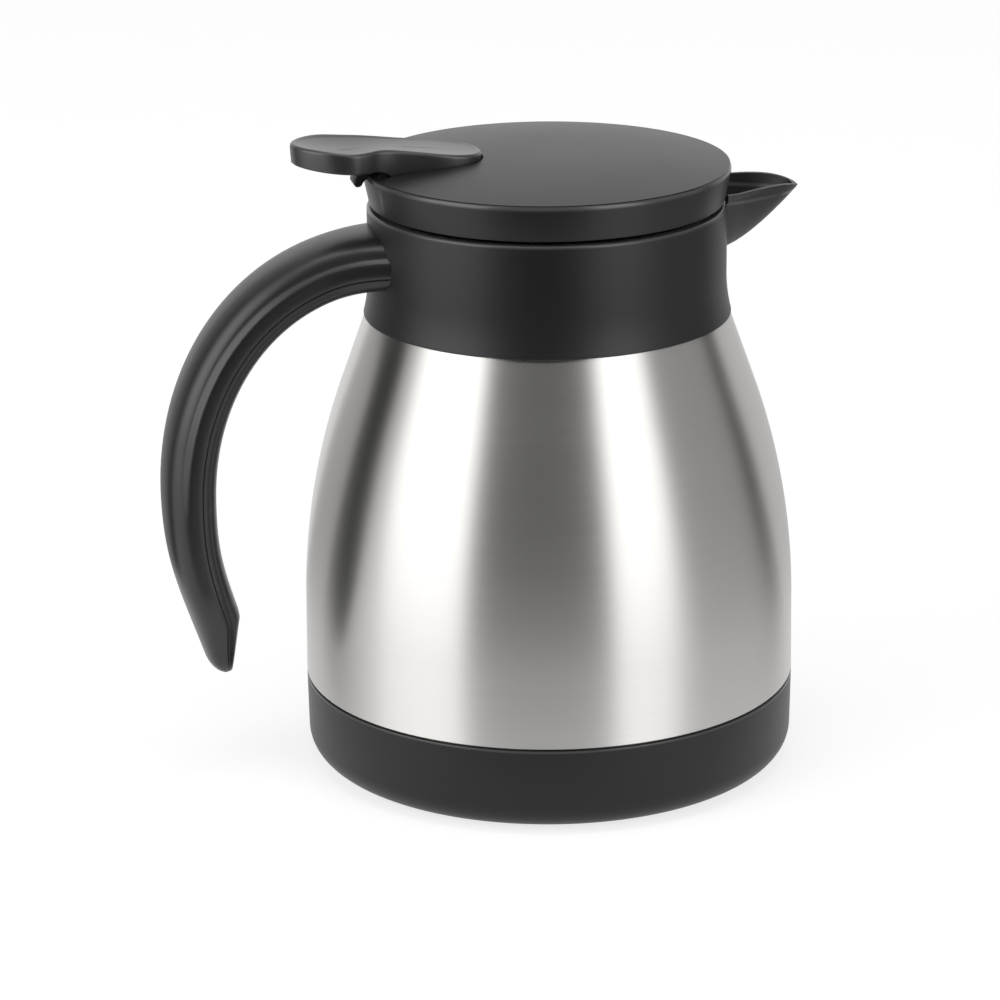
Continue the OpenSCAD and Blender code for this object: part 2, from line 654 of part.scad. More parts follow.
// Lid cover: flared skirt and domed top, with a slot for the lever and ears for its pin
lid_r = lid_d / 2;
lid_foot_r = lid_foot_d / 2;
dome_r = (lid_r * lid_r + lid_crown * lid_crown) / (2 * lid_crown);
function dome_z(r) = lid_top_z - dome_r + sqrt(dome_r * dome_r - r * r);
dome_steps = 10;
lid_edge_in = lid_r - lid_edge_r;
pivot_z = lid_rim_z - pivot_drop;
boss_r = pin_r + run + boss_wall;
slot_gap = 0.5;
slot_end_gap = 2.2; // room behind the lever's boss
slot_x1 = pivot_x + boss_r + slot_end_gap;
slot_h = lid_side_h + lid_crown + over;
ear_t = 2.4;
ear_y = inner_half_w + slot_gap;
deck_drop = 1.6;    // depth of the stopper's deck below the collar's upper edge
deck_top_z = collar_top_z - deck_drop;
lid_post_z = deck_top_z + fit;
lid_screw_angles = [0, 110, 250];
lid_post_r = screw_r + screw_boss_wall;
lid_screw_l = 6;    // length of a lid screw in its post

// Where the lever's outline narrows
tip_round_l = 4.5;
tip_narrow = 1.2;
tip_taper_l = 11;
hip_lead = 6;
waist_taper_l = 10;
neck_lead = 11;
tip_points = 8;
// Half width of the lever's outline at distance x from the lid's middle, by smooth steps
function lever_half_w(x) =
    x < pivot_x - hip_lead
    ? mix(waist_half_w - tip_narrow, inner_half_w, smooth((x - lever_tip_x) / tip_taper_l))
    : mix(inner_half_w, waist_half_w, smooth((x - pivot_x + hip_lead) / waist_taper_l));
lever_neck_x = paddle_x - neck_lead;
outline_steps = 12;
module lever_outline(grow) {
    x0 = lever_tip_x + tip_round_l;
    half = [for (i = [0:outline_steps]) let (x = mix(x0, lever_neck_x, i / outline_steps))
        [-x, lever_half_w(x) + grow]];
    tip_w = lever_half_w(x0) + grow;
    tip = [for (i = [tip_points - 1:-1:1]) let (a = 90 - 180 * i / tip_points)
        [-x0 + (tip_round_l + grow) * cos(a), tip_w * sin(a)]];
    polygon(concat(half, [[-paddle_x, waist_half_w + grow], [-paddle_x, -waist_half_w - grow]],
        [for (i = [outline_steps:-1:0]) [half[i][0], -half[i][1]]], tip));
}

module lid_cover() {
    color(black_plastic) difference() {
        union() {
            rotate_extrude() polygon(concat(
                [[lid_foot_r, lid_foot_z]],
                arc([lid_edge_in, lid_rim_z - lid_edge_r], lid_edge_r, -5, 80, 5),
                [for (i = [dome_steps - 1:-1:0]) let (r = lid_edge_in * i / dome_steps) [r, dome_z(r)]],
                [for (i = [0:dome_steps]) let (r = (lid_edge_in - lid_wall) * i / dome_steps)
                    [r, dome_z(r) - lid_wall]],
                [[lid_foot_r - lid_wall, lid_foot_z]]));
            for (a = lid_screw_angles) rotate(a) translate([lid_screw_pcd_r, 0, lid_post_z])
                cylinder(h = dome_z(lid_screw_pcd_r) - lid_wall / 2 - lid_post_z, r = lid_post_r);
            for (s = [-1, 1])
                translate([-pivot_x - boss_r, s * (ear_y + ear_t / 2) - ear_t / 2, pivot_z - boss_r])
                cube([2 * boss_r, ear_t, boss_r + pivot_drop]);
        }
        for (a = lid_screw_angles) rotate(a) translate([lid_screw_pcd_r, 0, lid_post_z - over])
            cylinder(h = over + lid_screw_l + screw_end, r = screw_r + fit);
        intersection() {
            translate([0, 0, lid_foot_z]) linear_extrude(slot_h) lever_outline(slot_gap);
            translate([-slot_x1, -lid_r, lid_foot_z - over]) cube([slot_x1, lid_d, slot_h + 2 * over]);
        }
        translate([-pivot_x, 0, pivot_z]) rotate([90, 0, 0])
            cylinder(h = 2 * (ear_y + ear_t) + fit, r = pin_r + fit / 2, center = true);
        translate([-lid_r - over, -tab_w / 2 - fit, tab_seat_z])
            cube([lid_wall + tab_root + over, tab_w + 2 * fit, tab_seat_h]);
    }
}

// Stop tab: a curved plate that leaves a notch in the lid's rear rim, arches up into the hollow
// of the lever and ends in a rounded nose
tab_drop = 3.3;     // depth of the notch's floor below the lid's rim
tab_root = 1.0;     // how far the tab runs past the lid's wall
tab_rise = 2.65;    // rise of the arch above the tab's root
tab_lead = 0.8;     // how far the tab runs out past the rim before it rises
tab_arch_x0 = 1.4;
tab_arch_x1 = 2.6;
tab_reach = 3.6;
tab_dip = 0.55;     // drop of the nose below the root
tab_seat_h = tab_t + 2 * fit;
tab_seat_z = lid_rim_z - tab_drop;
tab_z = tab_seat_z + tab_seat_h / 2;
tab_line = [[-lid_r + lid_wall + tab_root, tab_z], [-lid_r - tab_lead, tab_z],
    [-lid_r - tab_arch_x0, tab_z + tab_rise], [-lid_r - tab_arch_x1, tab_z + tab_rise],
    [-lid_r - tab_reach, tab_z - tab_dip]];

module lever_stop() {
    h = tab_t / 2;
    color(black_plastic) translate([0, tab_w / 2, 0]) rotate([90, 0, 0]) linear_extrude(tab_w) union() {
        for (i = [0:len(tab_line) - 2]) {
            a = tab_line[i];
            b = tab_line[i + 1];
            d = (b - a) / norm(b - a) * h;
            polygon([a + [-d[1], d[0]], a - [-d[1], d[0]], b - [-d[1], d[0]], b + [-d[1], d[0]]]);
        }
        for (i = [1:len(tab_line) - 1]) translate(tab_line[i]) circle(r = h, $fn = 24);
    }
}

module lid_screws() {
    color(bright_steel) for (a = lid_screw_angles)
        rotate(a) translate([lid_screw_pcd_r, 0, deck_z]) screw(stopper_floor_t + lid_screw_l);
}

// Stopper: a tube that plugs the neck, its deck screwed under the lid cover
deck_z = deck_top_z - stopper_floor_t;
deck_gap = 1;
deck_r = bore_r - deck_gap;
stopper_r = stopper_d / 2;
stopper_z = deck_z - stopper_h;
seat_z = stopper_z + stopper_floor_t + seat_h;
seat_wall = 2;
groove_h = 3.2;
groove_d = 1.0;
groove_drop = 3.4;
groove_z = stopper_z + groove_drop;
hanger_gap = 0.6;   // gap between the lugs' hangers and the ledges
hanger_r = bore_r - thread_depth - hanger_gap;
hanger_wall = 2.0;
lug_gap = 0.5;      // gap between the lugs and the collar's bore
hanger_lap = 0.5;
guide_wall = 1.5;
guide_l = 5;
window_gap = 0.4;
window_z = ledge_top_z + window_gap;

module stopper() {
    color(black_plastic) difference() {
        union() {
            rotate_extrude() polygon([
                [pour_hole_r, stopper_z], [stopper_r, stopper_z],
                [stopper_r, groove_z], [stopper_r - groove_d, groove_z],
                [stopper_r - groove_d, groove_z + groove_h], [stopper_r, groove_z + groove_h],
                [stopper_r, deck_z], [deck_r, deck_z], [deck_r, deck_top_z],
                [stem_r + run, deck_top_z], [stem_r + run, deck_z - guide_l],
                [stem_r + run + guide_wall, deck_z - guide_l], [stem_r + run + guide_wall, deck_z],
                [stopper_r - stopper_wall, deck_z], [stopper_r - stopper_wall, stopper_z + stopper_floor_t],
                [pour_hole_r + seat_wall, stopper_z + stopper_floor_t], [pour_hole_r + seat_wall, seat_z],
                [pour_hole_r, seat_z]]);
            for (k = [0:thread_starts - 1]) {
                rotate(lug_a0 + thread_step * k) translate([0, 0, lug_z])
                    rotate_extrude(angle = thread_lug_a)
                    translate([hanger_r - hanger_wall, 0])
                    square([hanger_wall, deck_z - lug_z + hanger_lap]);
                rib(hanger_r - hanger_lap, bore_r - lug_gap, lug_a0 + thread_step * k, thread_lug_a, lug_z);
            }
        }
        translate([stopper_r - 2 * stopper_wall, -window_w / 2, window_z])
            cube([3 * stopper_wall, window_w, window_h]);
        for (a = lid_screw_angles) rotate(a) translate([lid_screw_pcd_r, 0, deck_z - over])
            cylinder(h = stopper_floor_t + 2 * over, r = screw_r + fit);
    }
}

gasket_nose = 0.6;

module stopper_gasket() {
    color(silicone) translate([0, 0, groove_z + fit]) rotate_extrude() polygon([
        [stopper_r - groove_d + fit, 0], [mouth_r - loose - gasket_nose, 0],
        [mouth_r - loose, groove_h / 2 - fit], [mouth_r - loose - gasket_nose, groove_h - 2 * fit],
        [stopper_r - groove_d + fit, groove_h - 2 * fit]]);
}

// Valve: seal on its seat, stem through the deck, cap on top, spring between flange and deck
flange_z = seat_z + fit + seal_t;
button_r = stem_r + 3;
button_t = 2;
seal_edge_share = 0.6;
cap_rise = 4.2;     // height of the stem cap above the deck
cap_z = deck_top_z + cap_rise;
stem_top_z = cap_z + cap_t;
roll_z = cap_z - loose - tine_roll_r;

module valve_stem() {
    color(white_plastic) union() {
        translate([0, 0, seat_z + fit - button_t]) cylinder(h = button_t, r = button_r);
        translate([0, 0, seat_z + fit - button_t / 2])
            cylinder(h = stem_top_z - seat_z - fit + button_t / 2, r = stem_r);
        translate([0, 0, flange_z]) cylinder(h = stem_flange_t, r = stem_flange_r);
    }
}

module valve_seal() {
    color(red_silicone) translate([0, 0, seat_z + fit]) rotate_extrude() polygon([
        [stem_r + fit / 2, 0], [seal_r, 0], [seal_r, seal_t * seal_edge_share], [stem_flange_r, seal_t],
        [stem_r + fit / 2, seal_t]]);
}

module stem_cap() {
    color(white_plastic) translate([0, 0, cap_z]) rotate_extrude()
        polygon([[stem_r + fit / 2, 0], [cap_r, 0], [cap_r, cap_t], [stem_r + fit / 2, cap_t]]);
}

spring_z0 = flange_z + stem_flange_t + fit + spring_wire_r;
spring_z1 = deck_z - fit - spring_wire_r;
spring_segments = 14;
wire_sides = 6;
module valve_spring() {
    steps = spring_turns * spring_segments;
    color(bright_steel) skin([for (i = [0:steps])
        let (a = 360 * i / spring_segments, z = mix(spring_z0, spring_z1, i / steps))
        [for (k = [0:wire_sides - 1]) let (b = 360 * k / wire_sides, r = spring_r + spring_wire_r * cos(b))
            [r * cos(a), r * sin(a), z + spring_wire_r * sin(b)]]]);
}

// Lever: waisted paddle with a hollow underside, boss on the pin and a forked arm to the stem cap
tine_gap = 0.7;     // gap between tine and stem
tine_flat = 0.2;
tine_clear = 1;     // how far the tine stays low beyond the stem cap's edge
tine_root_l = 8;
tine_root_up = 1.4;
tine_root_down = fork_t - tine_root_up;
lever_dip = 2.4;    // depth of the inner end below the lid's dome
dip_r = 42;         // radius of the hollow that the thumb rests in
dip_depth = 0.9;
dip_x = paddle_x - 2;
hollow_wall = 2;
hollow_end = 5;
tip_in = 1;
tip_chamfer = 0.3;
tip_flat = 3;
top_share = 0.62;   // share of the top's rise that is reached above the pivot
neck_drop = 0.4;
neck_x = 8;
out_rise = 1.4;
out_chamfer = 1.2;
boss_gap = 0.6;
boss_block_h = 6;
lever_out_x = paddle_x + paddle_r;
lever_in_z = lid_rim_z + lever_top_in;
lever_out_z = lid_rim_z + lever_top_out;
lever_under_z = lever_out_z - lever_side_h;
lever_low_z = dome_z(lever_tip_x) - lever_dip;
tine_y = stem_r + tine_gap;

lever_h = lever_out_z + out_rise + 2 * over - lever_low_z;

// Side view of the visible lever, seen along Y
lever_side = [
    [-lever_tip_x + tip_in, lever_low_z], [-lever_tip_x + tip_in, lever_in_z - tip_chamfer],
    [-lever_tip_x - tip_flat, lever_in_z], [-pivot_x, mix(lever_in_z, lever_out_z, top_share)],
    [-paddle_x + neck_x, lever_out_z - neck_drop], [-paddle_x - 2, lever_out_z],
    [-lever_out_x - over, lever_out_z + out_rise], [-lever_out_x - over, lever_under_z + out_chamfer],
    [-paddle_x - neck_x / 2, lever_under_z], [-pivot_x - boss_r - boss_gap, lever_under_z],
    [-pivot_x - boss_r, lever_low_z]];

module press_lever() {
    color(lever_plastic) difference() {
        union() {
            intersection() {
                translate([0, 0, lever_low_z - over]) linear_extrude(lever_h) union() {
                    lever_outline(0);
                    translate([-paddle_x, 0]) circle(r = paddle_r);
                }
                rotate([90, 0, 0]) linear_extrude(4 * paddle_r, center = true) polygon(lever_side);
            }
            translate([-pivot_x, 0, pivot_z]) rotate([90, 0, 0])
                cylinder(h = 2 * waist_half_w, r = boss_r, center = true);
            translate([-pivot_x - boss_r, -waist_half_w, pivot_z])
                cube([2 * boss_r, 2 * waist_half_w, boss_block_h]);
            for (s = [-1, 1]) {
                translate([0, s * (tine_y + tine_w / 2), 0]) rotate([90, 0, 0])
                    linear_extrude(tine_w, center = true) polygon([
                        [-pivot_x, pivot_z - tine_root_down], [0, roll_z - tine_roll_r + tine_flat],
                        [0, roll_z + tine_roll_r - tine_flat],
                        [-cap_r - tine_clear, roll_z + tine_roll_r - tine_flat],
                        [-pivot_x + tine_root_l, pivot_z + tine_root_up],
                        [-pivot_x, pivot_z + tine_root_up]]);
                translate([0, s * (tine_y + tine_w / 2), roll_z]) rotate([90, 0, 0])
                    cylinder(h = tine_w, r = tine_roll_r, center = true);
            }
        }
        translate([-pivot_x, 0, pivot_z]) rotate([90, 0, 0])
            cylinder(h = lid_d, r = pin_r + run, center = true);
        translate([-paddle_x - hollow_end, -waist_half_w + hollow_wall, lever_under_z - over])
            cube([paddle_x + hollow_end - pivot_x - boss_r - boss_gap - hollow_wall,
                2 * (waist_half_w - hollow_wall), lever_side_h - lever_plate_t + over]);
        translate([-dip_x, 0, lever_out_z + dip_r - dip_depth]) sphere(r = dip_r, $fn = 96);
    }
}

module lever_pin() {
    color(bright_steel) translate([-pivot_x, 0, pivot_z]) rotate([90, 0, 0])
        cylinder(h = 2 * (ear_y + ear_t), r = pin_r, center = true);
}

outer_shell();
inner_flask();
bottom_plate();
vacuum_plug();
getter_pill();
base_cup();
foot_pad();
collar();
neck_gasket();
handle_outer();
handle_inner();
handle_screws();
lid_cover();
lid_screws();
stopper();
stopper_gasket();
valve_stem();
valve_seal();
valve_spring();
stem_cap();
press_lever();
lever_pin();
lever_stop();
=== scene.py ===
# Looks of the thermal carafe: dressed pieces, finishes, studio and camera.
# Shapes are drawn in millimetres and made in metres. +Z is up, +X is the spout, -X is the handle.
import json
from math import acos, asin, atan2, cos, pi, radians, sin, sqrt, tan

import bmesh
import bpy
from mathutils import Matrix, Vector


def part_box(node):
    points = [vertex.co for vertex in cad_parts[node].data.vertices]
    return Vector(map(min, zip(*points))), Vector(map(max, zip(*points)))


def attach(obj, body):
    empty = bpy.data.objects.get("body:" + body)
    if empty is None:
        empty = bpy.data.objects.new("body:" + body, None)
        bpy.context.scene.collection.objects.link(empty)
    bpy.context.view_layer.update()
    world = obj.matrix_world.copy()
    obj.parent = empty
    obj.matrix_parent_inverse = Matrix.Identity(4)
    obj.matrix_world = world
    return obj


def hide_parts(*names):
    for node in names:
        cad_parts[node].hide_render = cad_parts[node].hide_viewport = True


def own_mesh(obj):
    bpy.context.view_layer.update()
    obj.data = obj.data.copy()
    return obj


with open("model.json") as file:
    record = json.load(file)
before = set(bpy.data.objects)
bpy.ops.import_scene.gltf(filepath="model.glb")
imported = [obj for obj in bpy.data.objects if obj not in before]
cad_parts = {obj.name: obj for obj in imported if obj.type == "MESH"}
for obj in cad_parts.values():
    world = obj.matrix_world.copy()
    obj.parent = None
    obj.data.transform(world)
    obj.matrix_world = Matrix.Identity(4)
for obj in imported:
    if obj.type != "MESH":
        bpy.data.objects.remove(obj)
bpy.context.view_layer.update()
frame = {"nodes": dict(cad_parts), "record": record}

mm = 0.001
mergeDistance = 1e-6    # metres
print("frame loaded:", len(frame["nodes"]), "nodes")


# Camera: faces the near side, a little towards the handle, and looks down on the lid

view = {
    "position": (-0.2169, -0.9995, 0.4093),
    "direction": (0.1893, 0.9305, -0.3135),
    "roll": -0.009,
    "lens": 140.57,
    "near": 0.05,
    "far": 40,
}


def placeCamera():
    forward = Vector(view["direction"]).normalized()
    right = forward.cross(Vector((0, 0, 1))).normalized()
    up = right.cross(forward)
    tiltedRight = cos(view["roll"]) * right + sin(view["roll"]) * up
    tiltedUp = tiltedRight.cross(forward)
    bpy.ops.object.camera_add(location=view["position"])
    camera = bpy.context.object
    camera.name = "photoCamera"
    camera.rotation_euler = Matrix((tiltedRight, tiltedUp, -forward)).transposed().to_euler()
    camera.data.lens = view["lens"]
    camera.data.clip_start = view["near"]
    camera.data.clip_end = view["far"]
    bpy.context.scene.camera = camera


placeCamera()
print("camera placed")


# Small tools for modelling

def deselectAll():
    if bpy.context.object and bpy.context.object.mode != "OBJECT":
        bpy.ops.object.mode_set(mode="OBJECT")
    bpy.ops.object.select_all(action="DESELECT")


def pick(piece):
    deselectAll()
    piece.select_set(True)
    bpy.context.view_layer.objects.active = piece


def tidyMesh(piece):
    pick(piece)
    bpy.ops.object.mode_set(mode="EDIT")
    bpy.ops.mesh.select_all(action="SELECT")
    bpy.ops.mesh.remove_doubles(threshold=mergeDistance)
    bpy.ops.mesh.normals_make_consistent(inside=False)
    bpy.ops.object.mode_set(mode="OBJECT")


def applyModifiers(piece):
    pick(piece)
    for modifier in list(piece.modifiers):
        bpy.ops.object.modifier_apply(modifier=modifier.name)


def mix(a, b, share):
    return a + (b - a) * share


def smooth(share):
    share = min(max(share, 0), 1)
    return share * share * (3 - 2 * share)


def roundedProfile(corners, steps=5):
    # corners are (r, z) or (r, z, radius); a radius rounds that corner
    points = []
    count = len(corners)
    for i, corner in enumerate(corners):
        here = Vector(corner[:2])
        radius = corner[2] if len(corner) > 2 else 0
        if not radius:
            points.append(here)
            continue
        before = (Vector(corners[i - 1][:2]) - here).normalized()
        after = (Vector(corners[(i + 1) % count][:2]) - here).normalized()
        half = acos(max(-1, min(1, before.dot(after)))) / 2
        reach = radius / tan(half)
        centre = here + (before + after).normalized() * (radius / sin(half))
        start, end = here + before * reach - centre, here + after * reach - centre
        turn = start.angle_signed(end)
        for k in range(steps + 1):
            a = -turn * k / steps
            turned = (start.x * cos(a) - start.y * sin(a), start.x * sin(a) + start.y * cos(a))
            points.append(centre + Vector(turned))
    return points


def spinLine(name, path, steps, angle):
    # One vertex is drawn along the path by extrusion, and the line is spun round the axis
    deselectAll()
    bpy.ops.mesh.primitive_plane_add(size=1)
    piece = bpy.context.object
    piece.name = name
    bpy.ops.object.mode_set(mode="EDIT")
    bpy.ops.mesh.select_all(action="SELECT")
    bpy.ops.mesh.merge(type="CENTER")
    bpy.ops.transform.translate(value=path[0])
    for here, there in zip(path, path[1:]):
        bpy.ops.mesh.extrude_region_move(TRANSFORM_OT_translate={"value": there - here})
    bpy.ops.mesh.select_all(action="SELECT")
    bpy.ops.mesh.spin(steps=steps, angle=angle, center=(0, 0, 0), axis=(0, 0, 1))
    bpy.ops.object.mode_set(mode="OBJECT")
    return piece


def turnPiece(name, profile, steps, closed=True):
    path = [Vector((point[0], 0, point[1])) * mm for point in profile]
    piece = spinLine(name, path + (path[:1] if closed else []), steps, 2 * pi)
    tidyMesh(piece)
    return piece


def loftPiece(name, rings):
    # A circle takes the shape of the first ring and is extruded from ring to ring; both ends are closed
    deselectAll()
    bpy.ops.mesh.primitive_circle_add(vertices=len(rings[0]), radius=1, fill_type="NOTHING")
    piece = bpy.context.object
    piece.name = name
    bpy.ops.object.mode_set(mode="EDIT")
    grid = bmesh.from_edit_mesh(piece.data)
    grid.verts.ensure_lookup_table()
    ring = list(grid.verts)
    for vertex, place in zip(ring, rings[0]):
        vertex.co = Vector(place) * mm
    bpy.ops.mesh.select_all(action="SELECT")
    bpy.ops.mesh.edge_face_add()
    grid = bmesh.from_edit_mesh(piece.data)
    for face in grid.faces:
        face.select_set(False)
    for edge in grid.edges:
        edge.select_set(True)
    for places in rings[1:]:
        grid = bmesh.from_edit_mesh(piece.data)
        grid.verts.ensure_lookup_table()
        old = [v.index for v in ring]
        bpy.ops.mesh.extrude_edges_move(TRANSFORM_OT_translate={"value": (0, 0, 0)})
        grid = bmesh.from_edit_mesh(piece.data)
        grid.verts.ensure_lookup_table()
        ring = []
        for index in old:
            vertex = grid.verts[index]
            partners = (edge.other_vert(vertex) for edge in vertex.link_edges)
            ring.append(next(partner for partner in partners if partner.select))
        for vertex, place in zip(ring, places):
            vertex.co = Vector(place) * mm
        bmesh.update_edit_mesh(piece.data)
    bpy.ops.mesh.edge_face_add()
    bpy.ops.object.mode_set(mode="OBJECT")
    tidyMesh(piece)
    return piece


def curveThrough(points, steps):
    # Smooth curve through the points, with steps pieces between neighbours
    spots = [Vector(p) for p in points]
    curve = [spots[0]]
    for i in range(len(spots) - 1):
        p1, p2 = spots[i], spots[i + 1]
        p0 = spots[i - 1] if i else p1 * 2 - p2
        p3 = spots[i + 2] if i + 2 < len(spots) else p2 * 2 - p1
        for k in range(1, steps + 1):
            t = k / steps
            curve.append((p1 * 2 + (p2 - p0) * t + (p0 * 2 - p1 * 5 + p2 * 4 - p3) * t * t
                          + (p1 * 3 - p0 - p2 * 3 + p3) * t ** 3) / 2)
    return curve


def heightAlong(points, x, steps=8):
    # Height at x on the smooth curve through the points
    curve = curveThrough(points, steps)
    if x <= curve[0].x:
        return curve[0].y
    for a, b in zip(curve, curve[1:]):
        if x <= b.x:
            return mix(a.y, b.y, (x - a.x) / (b.x - a.x))
    return curve[-1].y


def finishPiece(piece, body, nodes, material, angle=35):
    pick(piece)
    bpy.ops.object.shade_smooth_by_angle(angle=radians(angle))
    piece.data.materials.clear()
    piece.data.materials.append(material)
    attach(piece, body)
    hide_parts(*nodes)


def booleanWith(piece, tool, operation):
    modifier = piece.modifiers.new("cut", "BOOLEAN")
    modifier.operation = operation
    modifier.solver = "MANIFOLD"
    modifier.object = tool
    applyModifiers(piece)
    bpy.data.objects.remove(tool)


# Shader tools: a wrapped socket, so that masks and mixes read as sums

class Socket:
    def __init__(self, tree, link):
        self.tree = tree
        self.link = link

    def math(self, operation, *others):
        return makeNode(self.tree, "ShaderNodeMath", {"operation": operation}, [self, *others])

    def __add__(self, other):
        return self.math("ADD", other)

    def __sub__(self, other):
        return self.math("SUBTRACT", other)

    def __rsub__(self, other):
        return makeNode(self.tree, "ShaderNodeMath", {"operation": "SUBTRACT"}, [other, self])

    def __mul__(self, other):
        return self.math("MULTIPLY", other)

    def __truediv__(self, other):
        return self.math("DIVIDE", other)

    __radd__ = __add__
    __rmul__ = __mul__


def makeNode(tree, kind, settings=None, inputs=None, output=0):
    # Settings come first, then the inputs: values or links, by the socket's name or in order
    node = tree.nodes.new(kind)
    for key, value in (settings or {}).items():
        setattr(node, key, value)
    pairs = inputs.items() if isinstance(inputs, dict) else enumerate(inputs or [])
    for key, value in pairs:
        if isinstance(value, Socket):
            tree.links.new(value.link, node.inputs[key])
        else:
            node.inputs[key].default_value = value
    return Socket(tree, node.outputs[output])


def newMaterial(name, constants):
    material = bpy.data.materials.new(name)
    material.use_nodes = True
    tree = material.node_tree
    shader = tree.nodes["Principled BSDF"]
    for key, value in constants.items():
        shader.inputs[key].default_value = value
    return material, tree, shader


def plug(tree, value, target):
    tree.links.new(value.link, target)


def objectCoordinates(tree):
    return makeNode(tree, "ShaderNodeTexCoord", output=3)


def noise(tree, vector, scale, detail=3, roughness=0.5):
    return makeNode(tree, "ShaderNodeTexNoise", {"noise_dimensions": "3D"},
                    {"Vector": vector, "Scale": scale, "Detail": detail, "Roughness": roughness})


def stretch(tree, vector, scale):
    return makeNode(tree, "ShaderNodeMapping", {}, {"Vector": vector, "Scale": scale})


def mixColor(tree, factor, first, second):
    # Sockets 6 and 7 are the two colours, and output 2 is the mixed one
    first, second = (tone if isinstance(tone, Socket) else (*tone, 1) for tone in (first, second))
    return makeNode(tree, "ShaderNodeMix", {"data_type": "RGBA"}, {"Factor": factor, 6: first, 7: second}, 2)


def bump(tree, height, strength, distance):
    return makeNode(tree, "ShaderNodeBump", {},
                    {"Height": height, "Strength": strength, "Distance": distance})


# Materials

def brushedSteel():
    # Fine lines run round the body: coordinates are angle and height, drawn out along the angle
    look = {
        "radius": 0.06, "fineLength": 0.05, "fineHeight": 0.00016, "broadLength": 0.15,
        "broadHeight": 0.0009, "dark": (0.56, 0.55, 0.535), "pale": (0.66, 0.65, 0.635),
        "fineColor": 0.7, "broadColor": 0.3, "roughness": 0.32, "fineRoughness": 0.08,
        "broadRoughness": 0.05, "bump": 0.05, "depth": 0.00008,
    }
    material, tree, shader = newMaterial("steelBrushed", {
        "Metallic": 1.0, "Anisotropic": 0.92, "Anisotropic Rotation": 0.25})
    place = objectCoordinates(tree)
    parts = makeNode(tree, "ShaderNodeSeparateXYZ", {}, [place])
    x, y, z = (Socket(tree, parts.link.node.outputs[i]) for i in range(3))
    turn = y.math("ARCTAN2", x) * look["radius"]
    lines = [turn / look["fineLength"], z / look["fineHeight"], z * 0]
    fine = noise(tree, makeNode(tree, "ShaderNodeCombineXYZ", {}, lines), 1.0, detail=4, roughness=0.62)
    bands = [turn / look["broadLength"], z / look["broadHeight"], z * 0]
    broad = noise(tree, makeNode(tree, "ShaderNodeCombineXYZ", {}, bands), 1.0, detail=2)
    tone = fine * look["fineColor"] + broad * look["broadColor"]
    gloss = fine * look["fineRoughness"] + broad * look["broadRoughness"] + look["roughness"]
    plug(tree, mixColor(tree, tone, look["dark"], look["pale"]), shader.inputs["Base Color"])
    plug(tree, gloss, shader.inputs["Roughness"])
    plug(tree, bump(tree, fine, look["bump"], look["depth"]), shader.inputs["Normal"])
    return material


def plainSteel():
    # Rolled sheet: cloudy, with short lines across the height
    look = {
        "cloudScale": 60, "lineScale": 900, "lineStretch": (1, 1, 12), "dark": (0.52, 0.52, 0.51),
        "pale": (0.62, 0.62, 0.61), "roughness": 0.24, "lineRoughness": 0.12, "cloudRoughness": 0.08,
        "bump": 0.08, "depth": 0.0001,
    }
    material, tree, shader = newMaterial("steelPlain", {"Metallic": 1.0})
    place = objectCoordinates(tree)
    cloudy = noise(tree, place, look["cloudScale"], detail=4)
    fine = noise(tree, stretch(tree, place, look["lineStretch"]), look["lineScale"])
    gloss = fine * look["lineRoughness"] + cloudy * look["cloudRoughness"] + look["roughness"]
    plug(tree, mixColor(tree, cloudy, look["dark"], look["pale"]), shader.inputs["Base Color"])
    plug(tree, gloss, shader.inputs["Roughness"])
    plug(tree, bump(tree, fine, look["bump"], look["depth"]), shader.inputs["Normal"])
    return material


def mouldedPlastic(name, dark, pale, roughness, specular=0.5, coat=0.0, polishAndPaintedHighlight=None):
    # Fine spark-eroded grain, a little cloudiness in colour and gloss
    # polishAndPaintedHighlight is the height and the width of an edge band that is made glossier and painted
    # lighter, a painted highlight line
    look = {
        "cloudScale": 45, "sparkScale": 2600, "sparkGloss": 0.10, "cloudGloss": 0.06, "bump": 0.12,
        "depth": 0.00012, "paintedHighlightColor": (0.08, 0.08, 0.08), "polishGloss": 0.24, "coatRoughness": 0.34,
    }
    material, tree, shader = newMaterial(name, {
        "IOR": 1.47, "Specular IOR Level": specular,
        "Coat Weight": coat, "Coat Roughness": look["coatRoughness"]})
    place = objectCoordinates(tree)
    cloudy = noise(tree, place, look["cloudScale"], detail=4)
    sparks = noise(tree, place, look["sparkScale"], roughness=0.6)
    color = mixColor(tree, cloudy, dark, pale)
    mean = (look["sparkGloss"] + look["cloudGloss"]) / 2
    gloss = sparks * look["sparkGloss"] + cloudy * look["cloudGloss"] + (roughness - mean)
    if polishAndPaintedHighlight:
        height, width = polishAndPaintedHighlight
        z = makeNode(tree, "ShaderNodeSeparateXYZ", {}, [place], 2)
        # Painted highlight: the band at that height is painted lighter, and its roughness is lowered
        edge = (1 - (z - height * mm).math("ABSOLUTE") / (width * mm)).math("MAXIMUM", 0)
        color = mixColor(tree, edge, color, look["paintedHighlightColor"])
        gloss = gloss - edge * look["polishGloss"]
    plug(tree, color, shader.inputs["Base Color"])
    plug(tree, gloss, shader.inputs["Roughness"])
    plug(tree, bump(tree, sparks, look["bump"], look["depth"]), shader.inputs["Normal"])
    return material


def siliconeRubber(name, dark, pale):
    look = {"dustScale": 120, "roughness": 0.62, "dustRoughness": 0.15, "bump": 0.1, "depth": 0.0002}
    material, tree, shader = newMaterial(name, {"IOR": 1.41, "Specular IOR Level": 0.3})
    place = objectCoordinates(tree)
    dusty = noise(tree, place, look["dustScale"], detail=5, roughness=0.6)
    plug(tree, mixColor(tree, dusty, dark, pale), shader.inputs["Base Color"])
    plug(tree, dusty * look["dustRoughness"] + look["roughness"], shader.inputs["Roughness"])
    plug(tree, bump(tree, dusty, look["bump"], look["depth"]), shader.inputs["Normal"])
    return material


